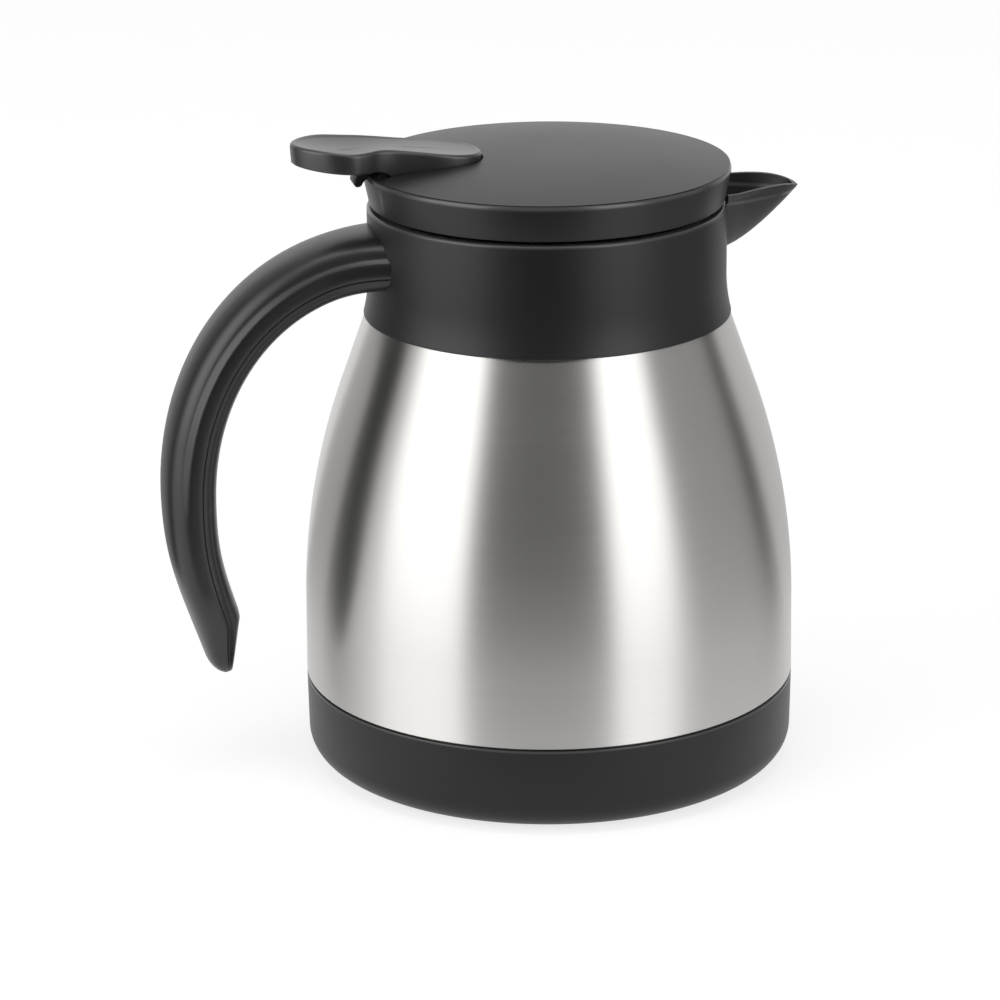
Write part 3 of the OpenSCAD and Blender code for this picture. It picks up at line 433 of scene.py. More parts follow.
def screwSteel():
    look = {
        "scratchScale": 400, "scratchStretch": (1, 1, 20), "dark": (0.5, 0.5, 0.5),
        "pale": (0.66, 0.66, 0.66), "roughness": 0.2, "scratchRoughness": 0.15,
    }
    material, tree, shader = newMaterial("screwSteel", {"Metallic": 1.0})
    place = objectCoordinates(tree)
    scratch = noise(tree, stretch(tree, place, look["scratchStretch"]), look["scratchScale"])
    plug(tree, mixColor(tree, scratch, look["dark"], look["pale"]), shader.inputs["Base Color"])
    plug(tree, scratch * look["scratchRoughness"] + look["roughness"], shader.inputs["Roughness"])
    return material


blackTones = ((0.008, 0.008, 0.008), (0.011, 0.011, 0.011))
lidTones = ((0.009, 0.009, 0.009), (0.013, 0.013, 0.013))
handleTones = ((0.013, 0.013, 0.013), (0.017, 0.017, 0.017))
leverTones = ((0.018, 0.018, 0.018), (0.024, 0.024, 0.024))
valveTones = ((0.52, 0.52, 0.5), (0.6, 0.6, 0.58))
padTones = ((0.07, 0.07, 0.072), (0.1, 0.1, 0.105))
sealTones = ((0.4, 0.1, 0.075), (0.48, 0.14, 0.11))
finishes = {
    "steel_brushed": brushedSteel(),
    "steel_plain": plainSteel(),
    "getter_metal": plainSteel(),
    "black_plastic": mouldedPlastic("blackPlastic", *blackTones, roughness=0.43, specular=0.42),
    "handle_plastic": mouldedPlastic("handlePlastic", *handleTones, roughness=0.35, specular=0.65),
    "lever_plastic": mouldedPlastic("leverPlastic", *leverTones, roughness=0.42, coat=0.75),
    "valve_plastic": mouldedPlastic("valvePlastic", *valveTones, roughness=0.4),
    "silicone": siliconeRubber("padSilicone", *padTones),
    "seal_silicone": siliconeRubber("sealSilicone", *sealTones),
    "screw_steel": screwSteel(),
}
# The same black plastic on pieces whose upper edge band is glossier and painted lighter, a painted highlight
# line
lidPlastic = mouldedPlastic("lidPlastic", *lidTones, roughness=0.41, specular=0.55, polishAndPaintedHighlight=(166.2, 0.9))
collarPlastic = mouldedPlastic("collarPlastic", *blackTones, roughness=0.43, polishAndPaintedHighlight=(155.8, 0.7))
basePlastic = mouldedPlastic("basePlastic", *blackTones, roughness=0.43, specular=0.38, polishAndPaintedHighlight=(23.7, 0.5))
print("materials made")


# Steel body: one curve from the base to the collar, with a sheet's thickness

steelBody = {
    "lowZ": 24.4, "footZ": 24.5, "topZ": 126.1, "radius": 67.5, "straight": 19.6, "taper": 0.2,
    "curve": 62.4, "topRadius": 49.4, "sheet": 0.6, "cupRadius": 65.2, "plateZ": 3.4,
    "stepRadius": 46.8, "stepZ": 127.5, "neckRadius": 42.0, "neckFootZ": 133.4,
    "neckZ": 138.0, "edge": 0.25, "points": 60, "turnSteps": 192,
}


def steelSide(z, rounds=8):
    # Outer radius at a height: nearly straight, then an arc, then a cone that meets the arc smoothly
    s = steelBody
    curveZ = s["lowZ"] + s["straight"]
    curveRadius = s["radius"] - s["taper"]
    coneZ = curveZ + s["curve"]
    coneHeight = s["topZ"] - coneZ
    drawIn = curveRadius - s["topRadius"]
    t = 0.15    # tangent of half the cone's angle, settled in a few rounds
    for _ in range(rounds):
        t = drawIn / (s["curve"] + 2 * coneHeight / (1 - t * t))
    angle = 2 * atan2(t, 1)
    arcRadius = s["curve"] / sin(angle)
    if z < curveZ:
        return s["radius"] - s["taper"] * (z - s["lowZ"]) / s["straight"]
    if z < coneZ:
        return curveRadius - arcRadius + sqrt(arcRadius ** 2 - (z - curveZ) ** 2)
    return s["topRadius"] + tan(angle) * (s["topZ"] - z)


def makeSteelBody():
    s = steelBody
    count = s["points"]
    heights = [mix(s["footZ"], s["topZ"], i / count) for i in range(count + 1)]
    sheet, footRadius = s["sheet"], steelSide(s["footZ"])
    outside = [(steelSide(z), z) for z in heights[1:]]
    inside = [(steelSide(z) - sheet, z) for z in reversed(heights[1:-1])]
    profile = [
        (s["cupRadius"], s["plateZ"]), (s["cupRadius"], s["footZ"]), (footRadius - s["edge"], s["footZ"]),
        (footRadius, s["footZ"] + s["edge"]), *outside, (s["stepRadius"], s["topZ"]),
        (s["stepRadius"], s["stepZ"]), (s["neckRadius"], s["neckFootZ"]), (s["neckRadius"], s["neckZ"]),
        (s["neckRadius"] - sheet, s["neckZ"]), (s["neckRadius"] - sheet, s["neckFootZ"] - sheet / 2),
        (s["stepRadius"] - sheet, s["stepZ"] - sheet / 2), (s["stepRadius"] - sheet, s["topZ"] - sheet),
        *inside, (s["cupRadius"] - sheet, s["footZ"] + sheet), (s["cupRadius"] - sheet, s["plateZ"]),
    ]
    piece = turnPiece("steelBody", profile, s["turnSteps"])
    finishPiece(piece, "carafe", ["outer_shell"], finishes["steel_brushed"], angle=30)


makeSteelBody()
print("steel body made")


# Base cup: drafted side, rounded lower edge, small bevel at the seam

baseCup = {
    "topRadius": 67.5, "footRadius": 67.1, "edge": 7.6, "footZ": 0.6, "topZ": 23.95,
    "innerRadius": 65.5, "floorZ": 3.4, "padRadius": 56.1, "padZ": 1.8, "bevel": 0.35, "fineBevel": 0.15,
    "edgeSteps": 10, "turnSteps": 192,
}


def makeBaseCup():
    s = baseCup
    profile = roundedProfile([
        (0, s["padZ"]), (s["padRadius"], s["padZ"]), (s["padRadius"], s["footZ"], s["fineBevel"]),
        (s["footRadius"], s["footZ"], s["edge"]), (s["topRadius"], s["topZ"], s["bevel"]),
        (s["innerRadius"], s["topZ"], s["fineBevel"]), (s["innerRadius"], s["floorZ"]), (0, s["floorZ"]),
    ], s["edgeSteps"])
    piece = turnPiece("baseCup", profile, s["turnSteps"], closed=False)
    finishPiece(piece, "carafe", ["base_cup"], basePlastic)


makeBaseCup()
print("base cup made")


# Collar: flared foot, rounded upper edge, ledges for the lid's lugs and the spout

collar = {
    "footZ": 126.1, "topZ": 156.1, "radius": 48.5, "flare": 1.4, "flareHeight": 11, "edge": 0.8,
    "footEdge": 0.25, "footInner": 46.9, "footInnerZ": 128.5, "bore": 45.5, "ledgeZ": 139.7,
    "ledgeTopZ": 141.7, "ledgeEdge": 0.5, "mouth": 39.2, "sleeveInner": 42.3, "sleeveOuter": 44.3,
    "sleeveZ": 134.5, "flareSteps": 10, "edgeSteps": 6, "turnSteps": 160,
}
threadLedges = {
    "count": 3, "start": 35, "span": 50, "z": 144.7, "lead": 36, "depth": 2.3, "thickness": 2.0,
    "chamfer": 0.4, "sunk": 1, "steps": 10,
}
spout = {
    "reach": 21.2, "halfWidth": 13.4, "lipZ": 159.2, "depth": 18.7, "noseCurve": 0.45, "blunt": 0.32,
    "rootDrop": 1.3, "tipDrop": 1.9, "tipHeight": 0.6, "lipCurve": 5, "keelCurve": 1.4, "vee": 1.6,
    "chamfer": 1.5, "chamferIn": 0.6, "chamferFade": 1.5, "rootRadius": 47, "lipRootRadius": 48.8,
    "wall": 1.7, "tipWall": 2.0, "keelWall": 1.3, "channelUp": 4, "channelIn": 6,
    "points": 20, "stations": 16, "firstStation": 1.5,
}


def spoutRing(x, wall, top, chamfer):
    # V-shaped section at x: from one lip down to the keel and up to the other
    s = spout
    u = max((x - collar["radius"]) / s["reach"], 0)
    w = s["halfWidth"] * (1 - u) ** s["noseCurve"] - wall
    lip = s["lipZ"] - s["tipDrop"] * u ** s["lipCurve"] - s["rootDrop"] * (1 - u) ** 2
    rise = (s["depth"] - s["tipDrop"] - s["tipHeight"]) * u ** s["keelCurve"]
    keel = s["lipZ"] - s["depth"] + rise + s["keelWall"] * wall
    side = lip - chamfer
    ring = []
    for i in range(s["points"] + 1):
        t = 1 - 2 * i / s["points"]
        ring.append((x, w * t, mix(keel, side, abs(t) ** s["vee"])))
    inset = min(chamfer * s["chamferIn"], w / 2)
    return ring + [(x, -w + inset, lip + top), (x, w - inset, lip + top)]


def spoutStation(i, end):
    # Stations lie closer together towards the tip
    s = spout
    return mix(collar["radius"] + s["firstStation"], end, sin(pi / 2 * (i - 1) / (s["stations"] - 1)))


def onCollarWall(place):
    radius = spout["lipRootRadius"] if place[2] > collar["topZ"] else spout["rootRadius"]
    return (sqrt(radius ** 2 - place[1] ** 2), place[1], place[2])


def makeSpoutSolid():
    s = spout
    rings = [[onCollarWall(p) for p in spoutRing(collar["radius"], 0, 0, s["chamfer"])]]
    end = collar["radius"] + s["reach"] - s["blunt"]
    for i in range(1, s["stations"] + 1):
        x = spoutStation(i, end)
        u = (x - collar["radius"]) / s["reach"]
        rings.append(spoutRing(x, 0, 0, s["chamfer"] * (1 - u) ** s["chamferFade"]))
    return loftPiece("spoutSolid", rings)


def makeSpoutChannel():
    s = spout
    rings = [[(collar["bore"] - s["channelIn"], p[1], p[2])
              for p in spoutRing(collar["radius"], s["wall"], s["channelUp"], 0)]]
    end = collar["radius"] + s["reach"] - s["tipWall"]
    for i in range(1, s["stations"] + 1):
        rings.append(spoutRing(spoutStation(i, end), s["wall"], s["channelUp"], 0))
    return loftPiece("spoutChannel", rings)


def makeThreadLedge(k):
    s = threadLedges
    cut = s["chamfer"]
    inner, outer = collar["bore"] - s["depth"], collar["bore"] + s["sunk"]
    rings = []
    for i in range(s["steps"] + 1):
        turn = s["span"] * i / s["steps"]
        a = radians(s["start"] + k * 360 / s["count"] + turn)
        z = s["z"] + s["lead"] * turn / 360
        corners = [(inner, z + cut), (inner + cut, z), (outer, z), (outer, z + s["thickness"]),
                   (inner + cut, z + s["thickness"]), (inner, z + s["thickness"] - cut)]
        rings.append([(r * cos(a), r * sin(a), h) for r, h in corners])
    return loftPiece("threadLedge", rings)


def makeCollar():
    s = collar
    shares = [i / s["flareSteps"] for i in range(s["flareSteps"] + 1)]
    foot = [(s["radius"] + s["flare"] * (1 - t) ** 2, s["footZ"] + s["flareHeight"] * t) for t in shares]
    profile = roundedProfile([(*foot[0], s["footEdge"])] + foot[1:] + [
        (s["radius"], s["topZ"], s["edge"]), (s["bore"], s["topZ"], s["edge"]),
        (s["bore"], s["ledgeTopZ"], s["ledgeEdge"]), (s["mouth"], s["ledgeTopZ"], s["ledgeEdge"]),
        (s["mouth"], s["ledgeZ"]), (s["sleeveInner"], s["ledgeZ"]),
        (s["sleeveInner"], s["sleeveZ"]), (s["sleeveOuter"], s["sleeveZ"]), (s["sleeveOuter"], s["ledgeZ"]),
        (s["bore"], s["ledgeZ"]), (s["footInner"], s["footInnerZ"]), (s["footInner"], s["footZ"]),
    ], s["edgeSteps"])
    piece = turnPiece("collarBody", profile, s["turnSteps"])
    for k in range(threadLedges["count"]):
        booleanWith(piece, makeThreadLedge(k), "UNION")
    booleanWith(piece, makeSpoutSolid(), "UNION")
    booleanWith(piece, makeSpoutChannel(), "DIFFERENCE")
    finishPiece(piece, "carafe", ["collar"], collarPlastic)


makeCollar()
print("collar and spout made")


# Handle: an outer and an inner half along one line, with a fine seam between them

handle = {
    "root": (-48.6, 143.9), "rootArm": (-30, -2), "mid": (-99.6, 80.6), "upperArm": (0, 34.5),
    "lowerArm": (0, -20), "tipArm": (-7.5, 24.5), "tip": (-88.7, 31),
    "width": 27, "rootThickness": 15.8, "endThickness": 12.6, "square": 2.5, "innerSquare": 3.1,
    "seam": 0.67, "seamGap": 0.05, "seamRound": 0.3, "seamRoundSteps": 3, "innerInset": 0.15,
    # The free end narrows, is rounded over tipLength, and is bevelled on the inner side
    "taper": 0.62, "taperLength": 26, "tipLength": 6, "tipWidth": 0.5, "tipThickness": 0.35,
    "tipLeast": 0.004, "bevel": 16, "bevelFrom": -0.1, "bevelTo": 1.1,
    # The root widens towards the collar and is sunk in its wall
    "rootSpread": 3.0, "rootSpreadLength": 16, "rootSpreadCurve": 1.5, "rootIn": (3.0, 2.2, 1.4, 0.6),
    # Along the near and the far side the outer part steps in above a rounded shoulder
    "shoulderDrop": 0.1, "shoulderAt": 2.1, "shoulderHeight": 1.5, "shoulderEnd": 0.42,
    "shoulderFade": 0.12,
    # Stations along the line, closer together at the root and the tip
    "rootShares": (0, 0.008, 0.018, 0.034, 0.05), "upperFrom": 0.07, "upperSteps": 34,
    "lowerSteps": 34, "lowerEase": 1.35, "points": 52,
}
farAway = 1000    # for a distance that plays no part at a station
handleScrews = {"x": -54.7, "y": 5, "radius": 3.1, "seatZ": 138.4, "depth": 8, "sides": 32}


def bezier(points, t):
    p0, p1, p2, p3 = points
    place = p0 * (1 - t) ** 3 + p1 * 3 * (1 - t) ** 2 * t + p2 * 3 * (1 - t) * t * t + p3 * t ** 3
    slope = (p1 - p0) * (1 - t) ** 2 + (p2 - p1) * 2 * (1 - t) * t + (p3 - p2) * t * t
    return place, slope.normalized()


def handleStations():
    # For each station: its place, its direction, its share of the way, and its distance from the tip
    h = handle
    root, mid, tip = Vector(h["root"]), Vector(h["mid"]), Vector(h["tip"])
    upper = [root, root + Vector(h["rootArm"]), mid + Vector(h["upperArm"]), mid]
    lower = [mid, mid + Vector(h["lowerArm"]), tip + Vector(h["tipArm"]), tip]
    out = (root - upper[1]).normalized()
    stations = [(root + out * back, -out, 0, farAway) for back in h["rootIn"]]
    upperShares = [mix(h["upperFrom"], 1, i / h["upperSteps"]) for i in range(h["upperSteps"] + 1)]
    for t in [*h["rootShares"], *upperShares]:
        place, along = bezier(upper, t)
        stations.append((place, along, t / 2, farAway))
    for i in range(1, h["lowerSteps"] + 1):
        t = 1 - (1 - i / h["lowerSteps"]) ** h["lowerEase"]
        place, along = bezier(lower, t)
        stations.append((place, along, (1 + t) / 2, (place - tip).length))
    return stations


def handleSection(share, toTip, fromRoot):
    # Half width, and distances of the outer and the inner face from the middle line
    h = handle
    half = mix(h["rootThickness"], h["endThickness"], share) / 2
    tipRound = sqrt(max(1 - (1 - min(toTip / h["tipLength"], 1)) ** 2, h["tipLeast"]))
    taper = mix(h["taper"], 1, smooth(toTip / h["taperLength"]))
    width = h["width"] / 2 * taper * mix(h["tipWidth"], 1, tipRound)
    outer = half * mix(h["tipThickness"], 1, tipRound)
    inner = half
    if toTip < h["bevel"]:
        inner = min(half, mix(h["bevelFrom"], h["bevelTo"], toTip / h["bevel"]) * half)
    spread = h["rootSpread"] * (1 - min(fromRoot / h["rootSpreadLength"], 1)) ** h["rootSpreadCurve"]
    return width + spread, outer, inner


def handleHalf(station, isOuter):
    # Ring of one half: a squared ellipse above or below the seam, closed by the flat seam face
    h = handle
    place, along, share, toTip = station
    fromRoot = h["root"][0] + h["rootIn"][0] - place.x if toTip == farAway else farAway
    width, outer, inner = handleSection(share, toTip, fromRoot)
    middle, half = (outer - inner) / 2, (outer + inner) / 2
    seam = middle - half * 2 * (h["seam"] - 0.5)
    w = width - (0 if isOuter else h["innerInset"])
    shoulder = h["shoulderDrop"] * (1 - smooth((share - h["shoulderEnd"]) / h["shoulderFade"]))
    square = h["square"] if isOuter else h["innerSquare"]
    start = -asin((2 * h["seam"] - 1) ** (square / 2))
    first, last = (start, pi - start) if isOuter else (pi - start, 2 * pi + start)
    section = []
    for i in range(h["points"] + 1):
        a = mix(first, last, i / h["points"])
        y = w * (1 if cos(a) > 0 else -1) * abs(cos(a)) ** (2 / square)
        v = middle + half * (1 if sin(a) > 0 else -1) * abs(sin(a)) ** (2 / square)
        section.append((y * (1 - shoulder * smooth((v - h["shoulderAt"]) / h["shoulderHeight"] + 0.5)), v))
    gap = h["seamGap"] if isOuter else -h["seamGap"]
    section[0] = (section[0][0], seam + gap)
    section[-1] = (section[-1][0], seam + gap)
    reach = min(h["seamRound"], 0.35 * abs(section[1][1] - section[0][1]) + 0.02)    # fits a thin tip too
    corners = [(*section[0], reach)] + section[1:-1] + [(*section[-1], reach)]
    rounded = roundedProfile(corners, h["seamRoundSteps"])
    return [(place.x + v * along.y, y, place.y - v * along.x) for y, v in rounded]


def sinkScrews(piece):
    # Counterbores for the screw heads, from below
    s = handleScrews
    for y in (-s["y"], s["y"]):
        deselectAll()
        place = (s["x"] * mm, y * mm, (s["seatZ"] - s["depth"] / 2) * mm)
        bpy.ops.mesh.primitive_cylinder_add(vertices=s["sides"], radius=s["radius"] * mm,
                                            depth=s["depth"] * mm, location=place)
        booleanWith(piece, bpy.context.object, "DIFFERENCE")


def makeHandle():
    stations = handleStations()
    halves = (("handleOuter", True, "handle_outer"), ("handleInner", False, "handle_inner"))
    for name, isOuter, node in halves:
        piece = loftPiece(name, [handleHalf(station, isOuter) for station in stations])
        if not isOuter:
            sinkScrews(piece)
        finishPiece(piece, "carafe", [node], finishes["handle_plastic"], angle=40)


makeHandle()
print("handle made")


# Lid cover: domed top, flared skirt and a slot in the lever's outline

lidCover = {
    "rimRadius": 49.85, "footRadius": 47.8, "footZ": 157.1, "rimZ": 166.9, "crown": 3.4,
    "domeCurve": 2.3, "edge": 1.5, "footEdge": 0.35, "wall": 2.0,
    "steps": 22, "stepCurve": 1.4, "edgeSteps": 6, "turnSteps": 192,
    "slotGap": 0.45, "slotEnd": -47.4, "slotFrom": 162.5, "slotTo": 175,
}
# Half of the lever seen from above, from the thumb's end inwards
leverPlan = [
    (-69.4, 0), (-68.6, 3.6), (-66, 7.6), (-62, 10.8), (-58, 12.5), (-54, 12.8), (-50.4, 11.6), (-47, 9.8),
    (-43, 9.0), (-37, 9.2), (-30, 9.8), (-25, 9.3), (-21, 7.5), (-18.7, 4.2), (-17.9, 0),
]
leverPlanSteps = 5


def domeHeight(r):
    s = lidCover
    return s["rimZ"] + s["crown"] * (1 - (r / s["rimRadius"]) ** s["domeCurve"])


def leverOutline(grow):
    # Closed outline of the lever seen from above, widened by grow
    half = curveThrough(leverPlan, leverPlanSteps)
    outline = half + [Vector((p.x, -p.y)) for p in reversed(half[1:-1])]
    count = len(outline)
    grown = []
    for i, p in enumerate(outline):
        along = (outline[(i + 1) % count] - outline[i - 1]).normalized()
        grown.append(p + Vector((-along.y, along.x)) * grow)
    return grown


def makeLidCover():
    s = lidCover
    radii = [s["rimRadius"] * (1 - (i / s["steps"]) ** s["stepCurve"]) for i in range(s["steps"] + 1)]
    top = [(r, domeHeight(r)) for r in radii]
    under = [(r * (1 - s["wall"] / s["rimRadius"]), domeHeight(r) - s["wall"]) for r in reversed(radii)]
    corners = [(s["footRadius"], s["footZ"], s["footEdge"]), (*top[0], s["edge"])] + top[1:] + under
    corners.append((s["footRadius"] - s["wall"], s["footZ"], s["footEdge"]))
    piece = turnPiece("lidCover", roundedProfile(corners, s["edgeSteps"]), s["turnSteps"])
    slot = [(max(p.x, s["slotEnd"]), p.y) for p in leverOutline(s["slotGap"])]
    tool = loftPiece("slotTool", [[(x, y, z) for x, y in slot] for z in (s["slotFrom"], s["slotTo"])])
    booleanWith(piece, tool, "DIFFERENCE")
    finishPiece(piece, "lid", ["lid_cover"], lidPlastic)


makeLidCover()
print("lid cover made")


# Press lever: waisted, with a dished top, a rounded edge and a hollow underside

pressLever = {
    # Heights of the edges and depth of the dish, along x
    "topEdge": [(-70, 176.0), (-62, 175.6), (-54, 174.8), (-46, 174.8), (-38, 173.9), (-26, 172.4),
                (-17, 171.6)],
    "lowEdge": [(-70, 170.6), (-62, 169.8), (-54, 169.2), (-50, 169.1), (-47, 168.8), (-44.8, 168.1),
                (-42, 167.2), (-17, 167.2)],
    "dish": [(-70, 0.9), (-58, 1.5), (-46, 0.9), (-32, 0.5), (-17, 0.5)], "dishCurve": 2.2,
    "spineOut": -57, "spineIn": -27, "spineShare": 0.02, "draft": 0.25, "wall": 1.8, "plate": 2.2,
    "edge": 1.0, "edgeSteps": 6, "lowRound": 0.5, "lowSteps": 4, "lowChamfer": 0.4,
    # The hollow underneath is level as far as underEnd and rises outwards from there
    "underZ": 171.2, "underEnd": -40, "underSlope": 0.2, "underChamfer": 0.8,
    "underShares": (1, 0.6, 0.3, 0), "topShares": (0.06, 0.14, 0.24, 0.36, 0.5, 0.66, 0.82, 1),
    "pivot": (-38, 163.5), "bossRadius": 4.03, "bossHalf": 9.0, "bossGap": 0.3, "bossTopZ": 171,
    "bossSteps": 12, "bore": 1.83, "boreHalf": 12, "boreSides": 24,
    "tineY": 4.5, "tineWidth": 2.6, "tineBelow": 2.2, "tineAbove": 1.4, "tineBack": 8, "tineEase": 0.2,
    "rollZ": 156.9, "rollRadius": 1.5, "rollSteps": 6, "capEdge": 7.4,
}


def leverTop(x, share):
    # share is 1 on the outline and 0 on the spine
    s = pressLever
    return heightAlong(s["topEdge"], x) - heightAlong(s["dish"], x) * (1 - share ** s["dishCurve"])


def makeLever():
    s = pressLever
    outline = leverOutline(0)
    spine = [Vector((min(max(p.x, s["spineOut"]), s["spineIn"]), 0)) for p in outline]

    def ring(inset, inwards, height):
        # Outline drawn in by inset, and then towards the spine by a share
        places = []
        for p, c in zip(outline, spine):
            reach = (p - c).length
            share = mix(1 - inset / reach, s["spineShare"], inwards)
            q = c + (p - c) * share
            places.append((q.x, q.y, height(q.x, share)))
        return places

    def low(x, share):
        return heightAlong(s["lowEdge"], x)

    def under(x, share):
        ceiling = s["underZ"] + max(s["underEnd"] - x, 0) * s["underSlope"]
        return min(leverTop(x, share) - s["plate"], ceiling)

    # From the middle of the hollow outwards, round the lower and the upper edge, and back over the top
    inside = s["wall"] + s["draft"]
    rings = [ring(inside + s["underChamfer"], inwards, under) for inwards in s["underShares"]]
    rings.append(ring(inside, 0, lambda x, share: under(x, share) - s["underChamfer"]))
    rings.append(ring(inside, 0, lambda x, share: low(x, share) + s["lowChamfer"]))
    rings.append(ring(inside - s["lowChamfer"], 0, low))
    for k in range(s["lowSteps"] + 1):
        a = pi / 2 * k / s["lowSteps"]
        rings.append(ring(s["draft"] + s["lowRound"] * (1 - sin(a)), 0,
                          lambda x, share, a=a: low(x, share) + s["lowRound"] * (1 - cos(a))))
    for k in range(s["edgeSteps"] + 1):
        a = pi / 2 * k / s["edgeSteps"]
        rings.append(ring(s["edge"] * (1 - cos(a)), 0,
                          lambda x, share, a=a: leverTop(x, 1) - s["edge"] * (1 - sin(a))))
    for inwards in s["topShares"]:
        rings.append(ring(s["edge"], inwards, leverTop))
    piece = loftPiece("pressLever", rings)
    addLeverMechanism(piece)
    finishPiece(piece, "lever", ["press_lever"], finishes["lever_plastic"], angle=40)


def slab(name, outline, low, high):
    # A flat piece with its outline in the x-z plane, from y = low to y = high
    return loftPiece(name, [[(x, y, z) for x, z in outline] for y in (low, high)])


def arcPoints(centre, radius, first, last, steps):
    places = []
    for k in range(steps + 1):
        a = mix(first, last, k / steps)
        places.append((centre[0] + radius * cos(a), centre[1] + radius * sin(a)))
    return places


def addLeverMechanism(piece):
    # Two tines that reach down to the stem cap, and the boss on the pin
    s = pressLever
    px, pz = s["pivot"]
    roll = arcPoints((0, s["rollZ"]), s["rollRadius"], -pi / 2, pi / 2, s["rollSteps"])
    tine = [(px, pz - s["tineBelow"]), (0, s["rollZ"] - s["rollRadius"] + s["tineEase"])] + roll
    tine += [(-s["capEdge"], s["rollZ"] + s["rollRadius"] - s["tineEase"]),
             (px + s["tineBack"], pz + s["tineAbove"]), (px, pz + s["tineAbove"])]
    for side in (-1, 1):
        low = side * s["tineY"] - s["tineWidth"] / 2
        booleanWith(piece, slab("tine", tine, low, low + s["tineWidth"]), "UNION")
    boss = [(px - s["bossRadius"], s["bossTopZ"]), (px + s["bossRadius"], s["bossTopZ"])]
    boss += arcPoints(s["pivot"], s["bossRadius"], 0, -pi, s["bossSteps"])
    reach = s["bossHalf"] - s["bossGap"]
    booleanWith(piece, slab("boss", boss, -reach, reach), "UNION")
    bore = arcPoints(s["pivot"], s["bore"], 0, 2 * pi, s["boreSides"])[:-1]
    booleanWith(piece, slab("pinBore", bore, -s["boreHalf"], s["boreHalf"]), "DIFFERENCE")


makeLever()
print("press lever made")


# Stop tab: a strip that leaves the lid's rear rim, arches and ends in a rounded nose

leverStop = {
    "line": [(-46.8, 165.9), (-48.6, 166.7), (-50.0, 166.8), (-51.0, 166.1), (-51.8, 164.9)],
    "width": 7, "thickness": 2.4, "edge": 0.5, "noseLeast": 0.08, "noseWidth": 0.93,
    "steps": 5, "edgeSteps": 3, "noseSteps": 4,
}


def makeStopTab():
    s = leverStop
    line = curveThrough(s["line"], s["steps"])
    w, t, e = s["width"] / 2, s["thickness"] / 2, s["edge"]
    section = roundedProfile([(-w, -t, e), (w, -t, e), (w, t, e), (-w, t, e)], s["edgeSteps"])
    last = len(line) - 1
    stations = [(place, i, 1) for i, place in enumerate(line)]
    along = (line[last] - line[last - 1]).normalized()
    for k in range(1, s["noseSteps"] + 1):
        a = pi / 2 * k / s["noseSteps"]
        stations.append((line[last] + along * t * sin(a), last, max(cos(a), s["noseLeast"])))
    rings = []
    for place, i, size in stations:
        ahead = line[min(i + 1, last)] - line[max(i - 1, 0)]
        n = Vector((-ahead.y, ahead.x)).normalized() * size
        width = mix(s["noseWidth"], 1, size)
        rings.append([(place.x + n.x * q.y, q.x * width, place.y + n.y * q.y) for q in section])
    piece = loftPiece("leverStop", rings)
    finishPiece(piece, "lid", ["lever_stop"], finishes["black_plastic"], angle=40)


makeStopTab()
print("stop tab made")


# The CAD nodes that keep their own shape

def dressNode(name, slot):
    node = frame["nodes"][name]
    node.data.materials.clear()
    node.data.materials.append(finishes[slot])


slots = {entry["node"]: entry["material_slot"] for entry in frame["record"]["subparts"]}
for nodeName in sorted(frame["nodes"]):
    dressNode(nodeName, slots[nodeName])
print("nodes dressed")


# Valve spring: a coil between the stem's flange and the deck, drawn at one length, though the real spring is
# squeezed as the valve rises

valveSpring = {"radius": 5.4, "wire": 0.6, "turns": 5, "steps": 24, "sides": 12, "stroke": 6.025}


def makeValveSpring():
    s = valveSpring
    low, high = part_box("valve_spring")
    first, last = low.z / mm + s["wire"], high.z / mm - s["wire"]
    count = s["turns"] * s["steps"]
    rings = []
    for i in range(count + 1):
        a = 2 * pi * i / s["steps"]
        z = mix(first, last, i / count)
        ring = []
        for k in range(s["sides"]):
            b = 2 * pi * k / s["sides"]
            r = s["radius"] + s["wire"] * cos(b)
            ring.append((r * cos(a), r * sin(a), z + s["wire"] * sin(b)))
        rings.append(ring)
    piece = loftPiece("valveCoil", rings)
    slot = slots["valve_spring"]
    finishPiece(piece, "lid", ["valve_spring"], finishes[slot])
    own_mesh(piece)


makeValveSpring()
print("valve spring made")


# Studio: pale floor, white surroundings, two tall softboxes, a lamp overhead and felt arches

studio = {
    "floorSize": 12, "floorGlow": 0.75, "floorDark": (0.355, 0.355, 0.355),
    "floorPale": (0.365, 0.365, 0.365), "floorScale": 40, "white": 1.0, "diffuseLevel": 0.42,
    # Tall softboxes, each with its first and last azimuth
    "boxDistance": 1.9, "boxHeight": 2.2, "boxFoot": 0.02, "boxLevel": 2.0,
    "boxes": {"leftBox": (-83, -39), "rightBox": (31, 60)},
    # The lamp overhead draws the light lines on the upper edges
    "topLamp": {"azimuth": 0, "distance": 0.3, "height": 2.5, "width": 1.4, "depth": 0.5, "level": 5.0},
    # Felt arches: first and last azimuth, and how pale they are
    "arches": {
        "frontArch": (-36, 27, 0.02), "leftArch": (-113, -94, 0.0), "backLeftArch": (-143, -113, 0.5),
        "rightArch": (63, 110, 0.42), "rightStripe": (110, 123, 0.02), "backRightArch": (123, 160, 0.7),
    },
    "archPath": [(0.19, 0.0006), (2.4, 0.0006), (2.4, 2.2), (1.4, 2.9), (0.12, 3.0)], "archStep": 5,
}
cameraAzimuth = atan2(view["position"][1], view["position"][0])


def studioPoint(azimuth, distance, z=0.0):
    # azimuth in degrees from the camera, seen from the carafe; positive is the picture's right
    a = cameraAzimuth + radians(azimuth)
    return Vector((distance * cos(a), distance * sin(a), z))


def seenDirectly(tree):
    # 1 for rays that show the surroundings, 0 for those that carry light to the carafe
    path = makeNode(tree, "ShaderNodeLightPath").link.node
    seen = Socket(tree, path.outputs["Is Camera Ray"])
    for ray in ("Is Glossy Ray", "Is Transmission Ray"):
        seen = seen.math("MAXIMUM", Socket(tree, path.outputs[ray]))
    return seen


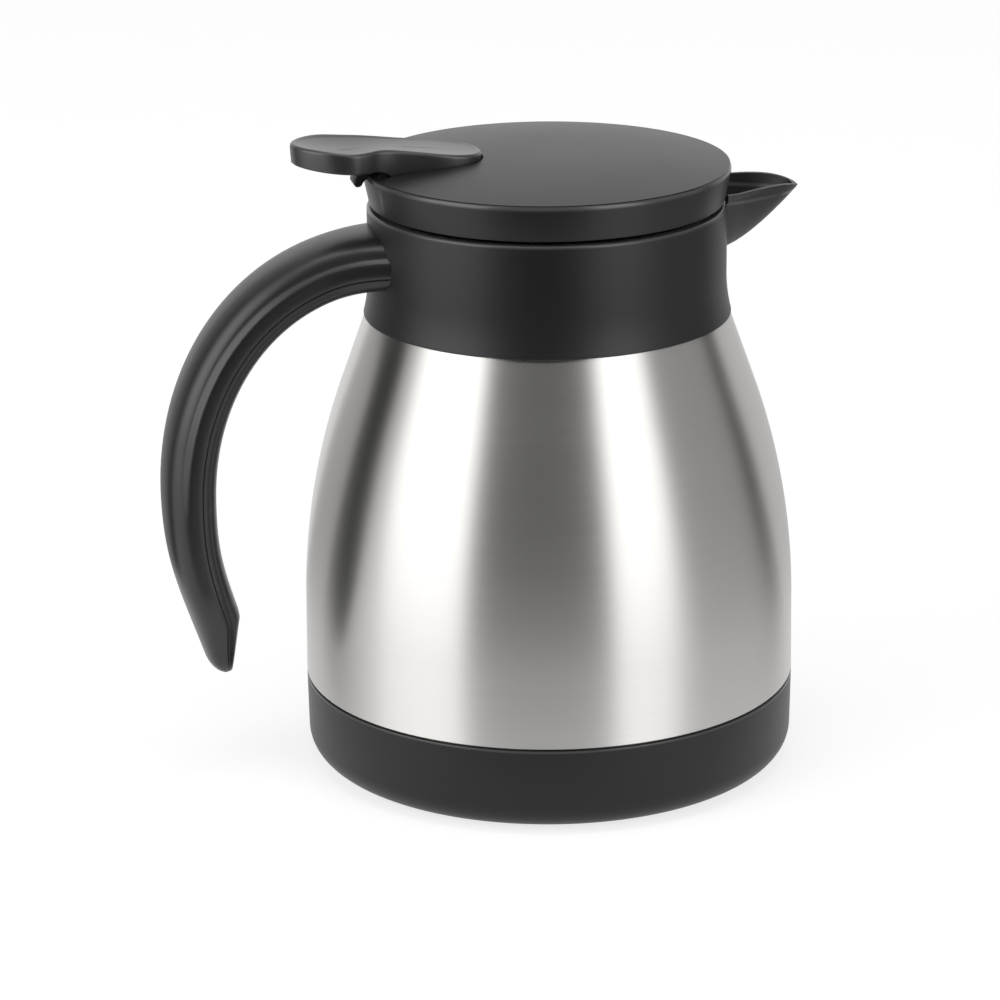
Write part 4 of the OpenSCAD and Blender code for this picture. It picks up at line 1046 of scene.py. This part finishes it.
def makeWorld():
    world = bpy.data.worlds.new("studioWorld")
    bpy.context.scene.world = world
    world.cycles.sampling_method = "NONE"    # so that the felt hides the world from glossy rays
    world.use_nodes = True
    tree = world.node_tree
    back = tree.nodes["Background"]
    back.inputs["Color"].default_value = (1, 1, 1, 1)
    level = seenDirectly(tree) * (studio["white"] - studio["diffuseLevel"]) + studio["diffuseLevel"]
    plug(tree, level, back.inputs["Strength"])


def makeFloor():
    deselectAll()
    bpy.ops.mesh.primitive_plane_add(size=studio["floorSize"], location=(0, 0, 0))
    floor = bpy.context.object
    floor.name = "paleFloor"
    material, tree, shader = newMaterial("floorPaper", {
        "Roughness": 0.9, "Specular IOR Level": 0.0, "Emission Color": (1, 1, 1, 1)})
    paper = noise(tree, objectCoordinates(tree), studio["floorScale"])
    plug(tree, mixColor(tree, paper, studio["floorDark"], studio["floorPale"]), shader.inputs["Base Color"])
    plug(tree, seenDirectly(tree) * studio["floorGlow"], shader.inputs["Emission Strength"])
    material.cycles.emission_sampling = "NONE"
    floor.data.materials.append(material)


def makeLamp(name, width, depth, level, place, facing):
    light = bpy.data.lights.new(name, "AREA")
    light.shape = "RECTANGLE"
    light.size, light.size_y = width, depth
    light.energy = level * light.size * light.size_y * pi
    lamp = bpy.data.objects.new(name, light)
    bpy.context.scene.collection.objects.link(lamp)
    lamp.location = place
    lamp.rotation_euler = facing.to_track_quat("-Z", "Y").to_euler()


def makeBox(name, first, last):
    # Tall softbox that faces the carafe
    s = studio
    place = studioPoint((first + last) / 2, s["boxDistance"], s["boxHeight"] / 2 + s["boxFoot"])
    width = 2 * s["boxDistance"] * tan(radians(last - first) / 2)
    makeLamp(name, width, s["boxHeight"], s["boxLevel"], place, Vector((-place.x, -place.y, 0)))


def makeTopLamp():
    s = studio["topLamp"]
    place = studioPoint(s["azimuth"], s["distance"], s["height"])
    makeLamp("topLamp", s["width"], s["depth"], s["level"], place, -place)


def makeArch(name, first, last, shade):
    # Felt that lies on the floor, rises behind the lamps and closes overhead; it shows only in reflections
    path = [studioPoint(last, r, z) for r, z in studio["archPath"]]    # the spin turns clockwise
    steps = round((last - first) / studio["archStep"]) + 1
    arch = spinLine(name, path, steps, radians(last - first))
    material = newMaterial(name + "Felt", {
        "Base Color": (0, 0, 0, 1), "Roughness": 1.0, "Specular IOR Level": 0.0,
        "Emission Color": (1, 1, 1, 1), "Emission Strength": shade})[0]
    material.cycles.emission_sampling = "NONE"
    arch.data.materials.append(material)
    arch.visible_camera = False
    arch.visible_diffuse = False
    arch.visible_shadow = False


def makeStudio():
    makeWorld()
    makeFloor()
    for name, (first, last) in studio["boxes"].items():
        makeBox(name, first, last)
    makeTopLamp()
    for name, (first, last, shade) in studio["arches"].items():
        makeArch(name, first, last, shade)


makeStudio()
bpy.context.scene.view_settings.view_transform = "Standard"
print("studio made")
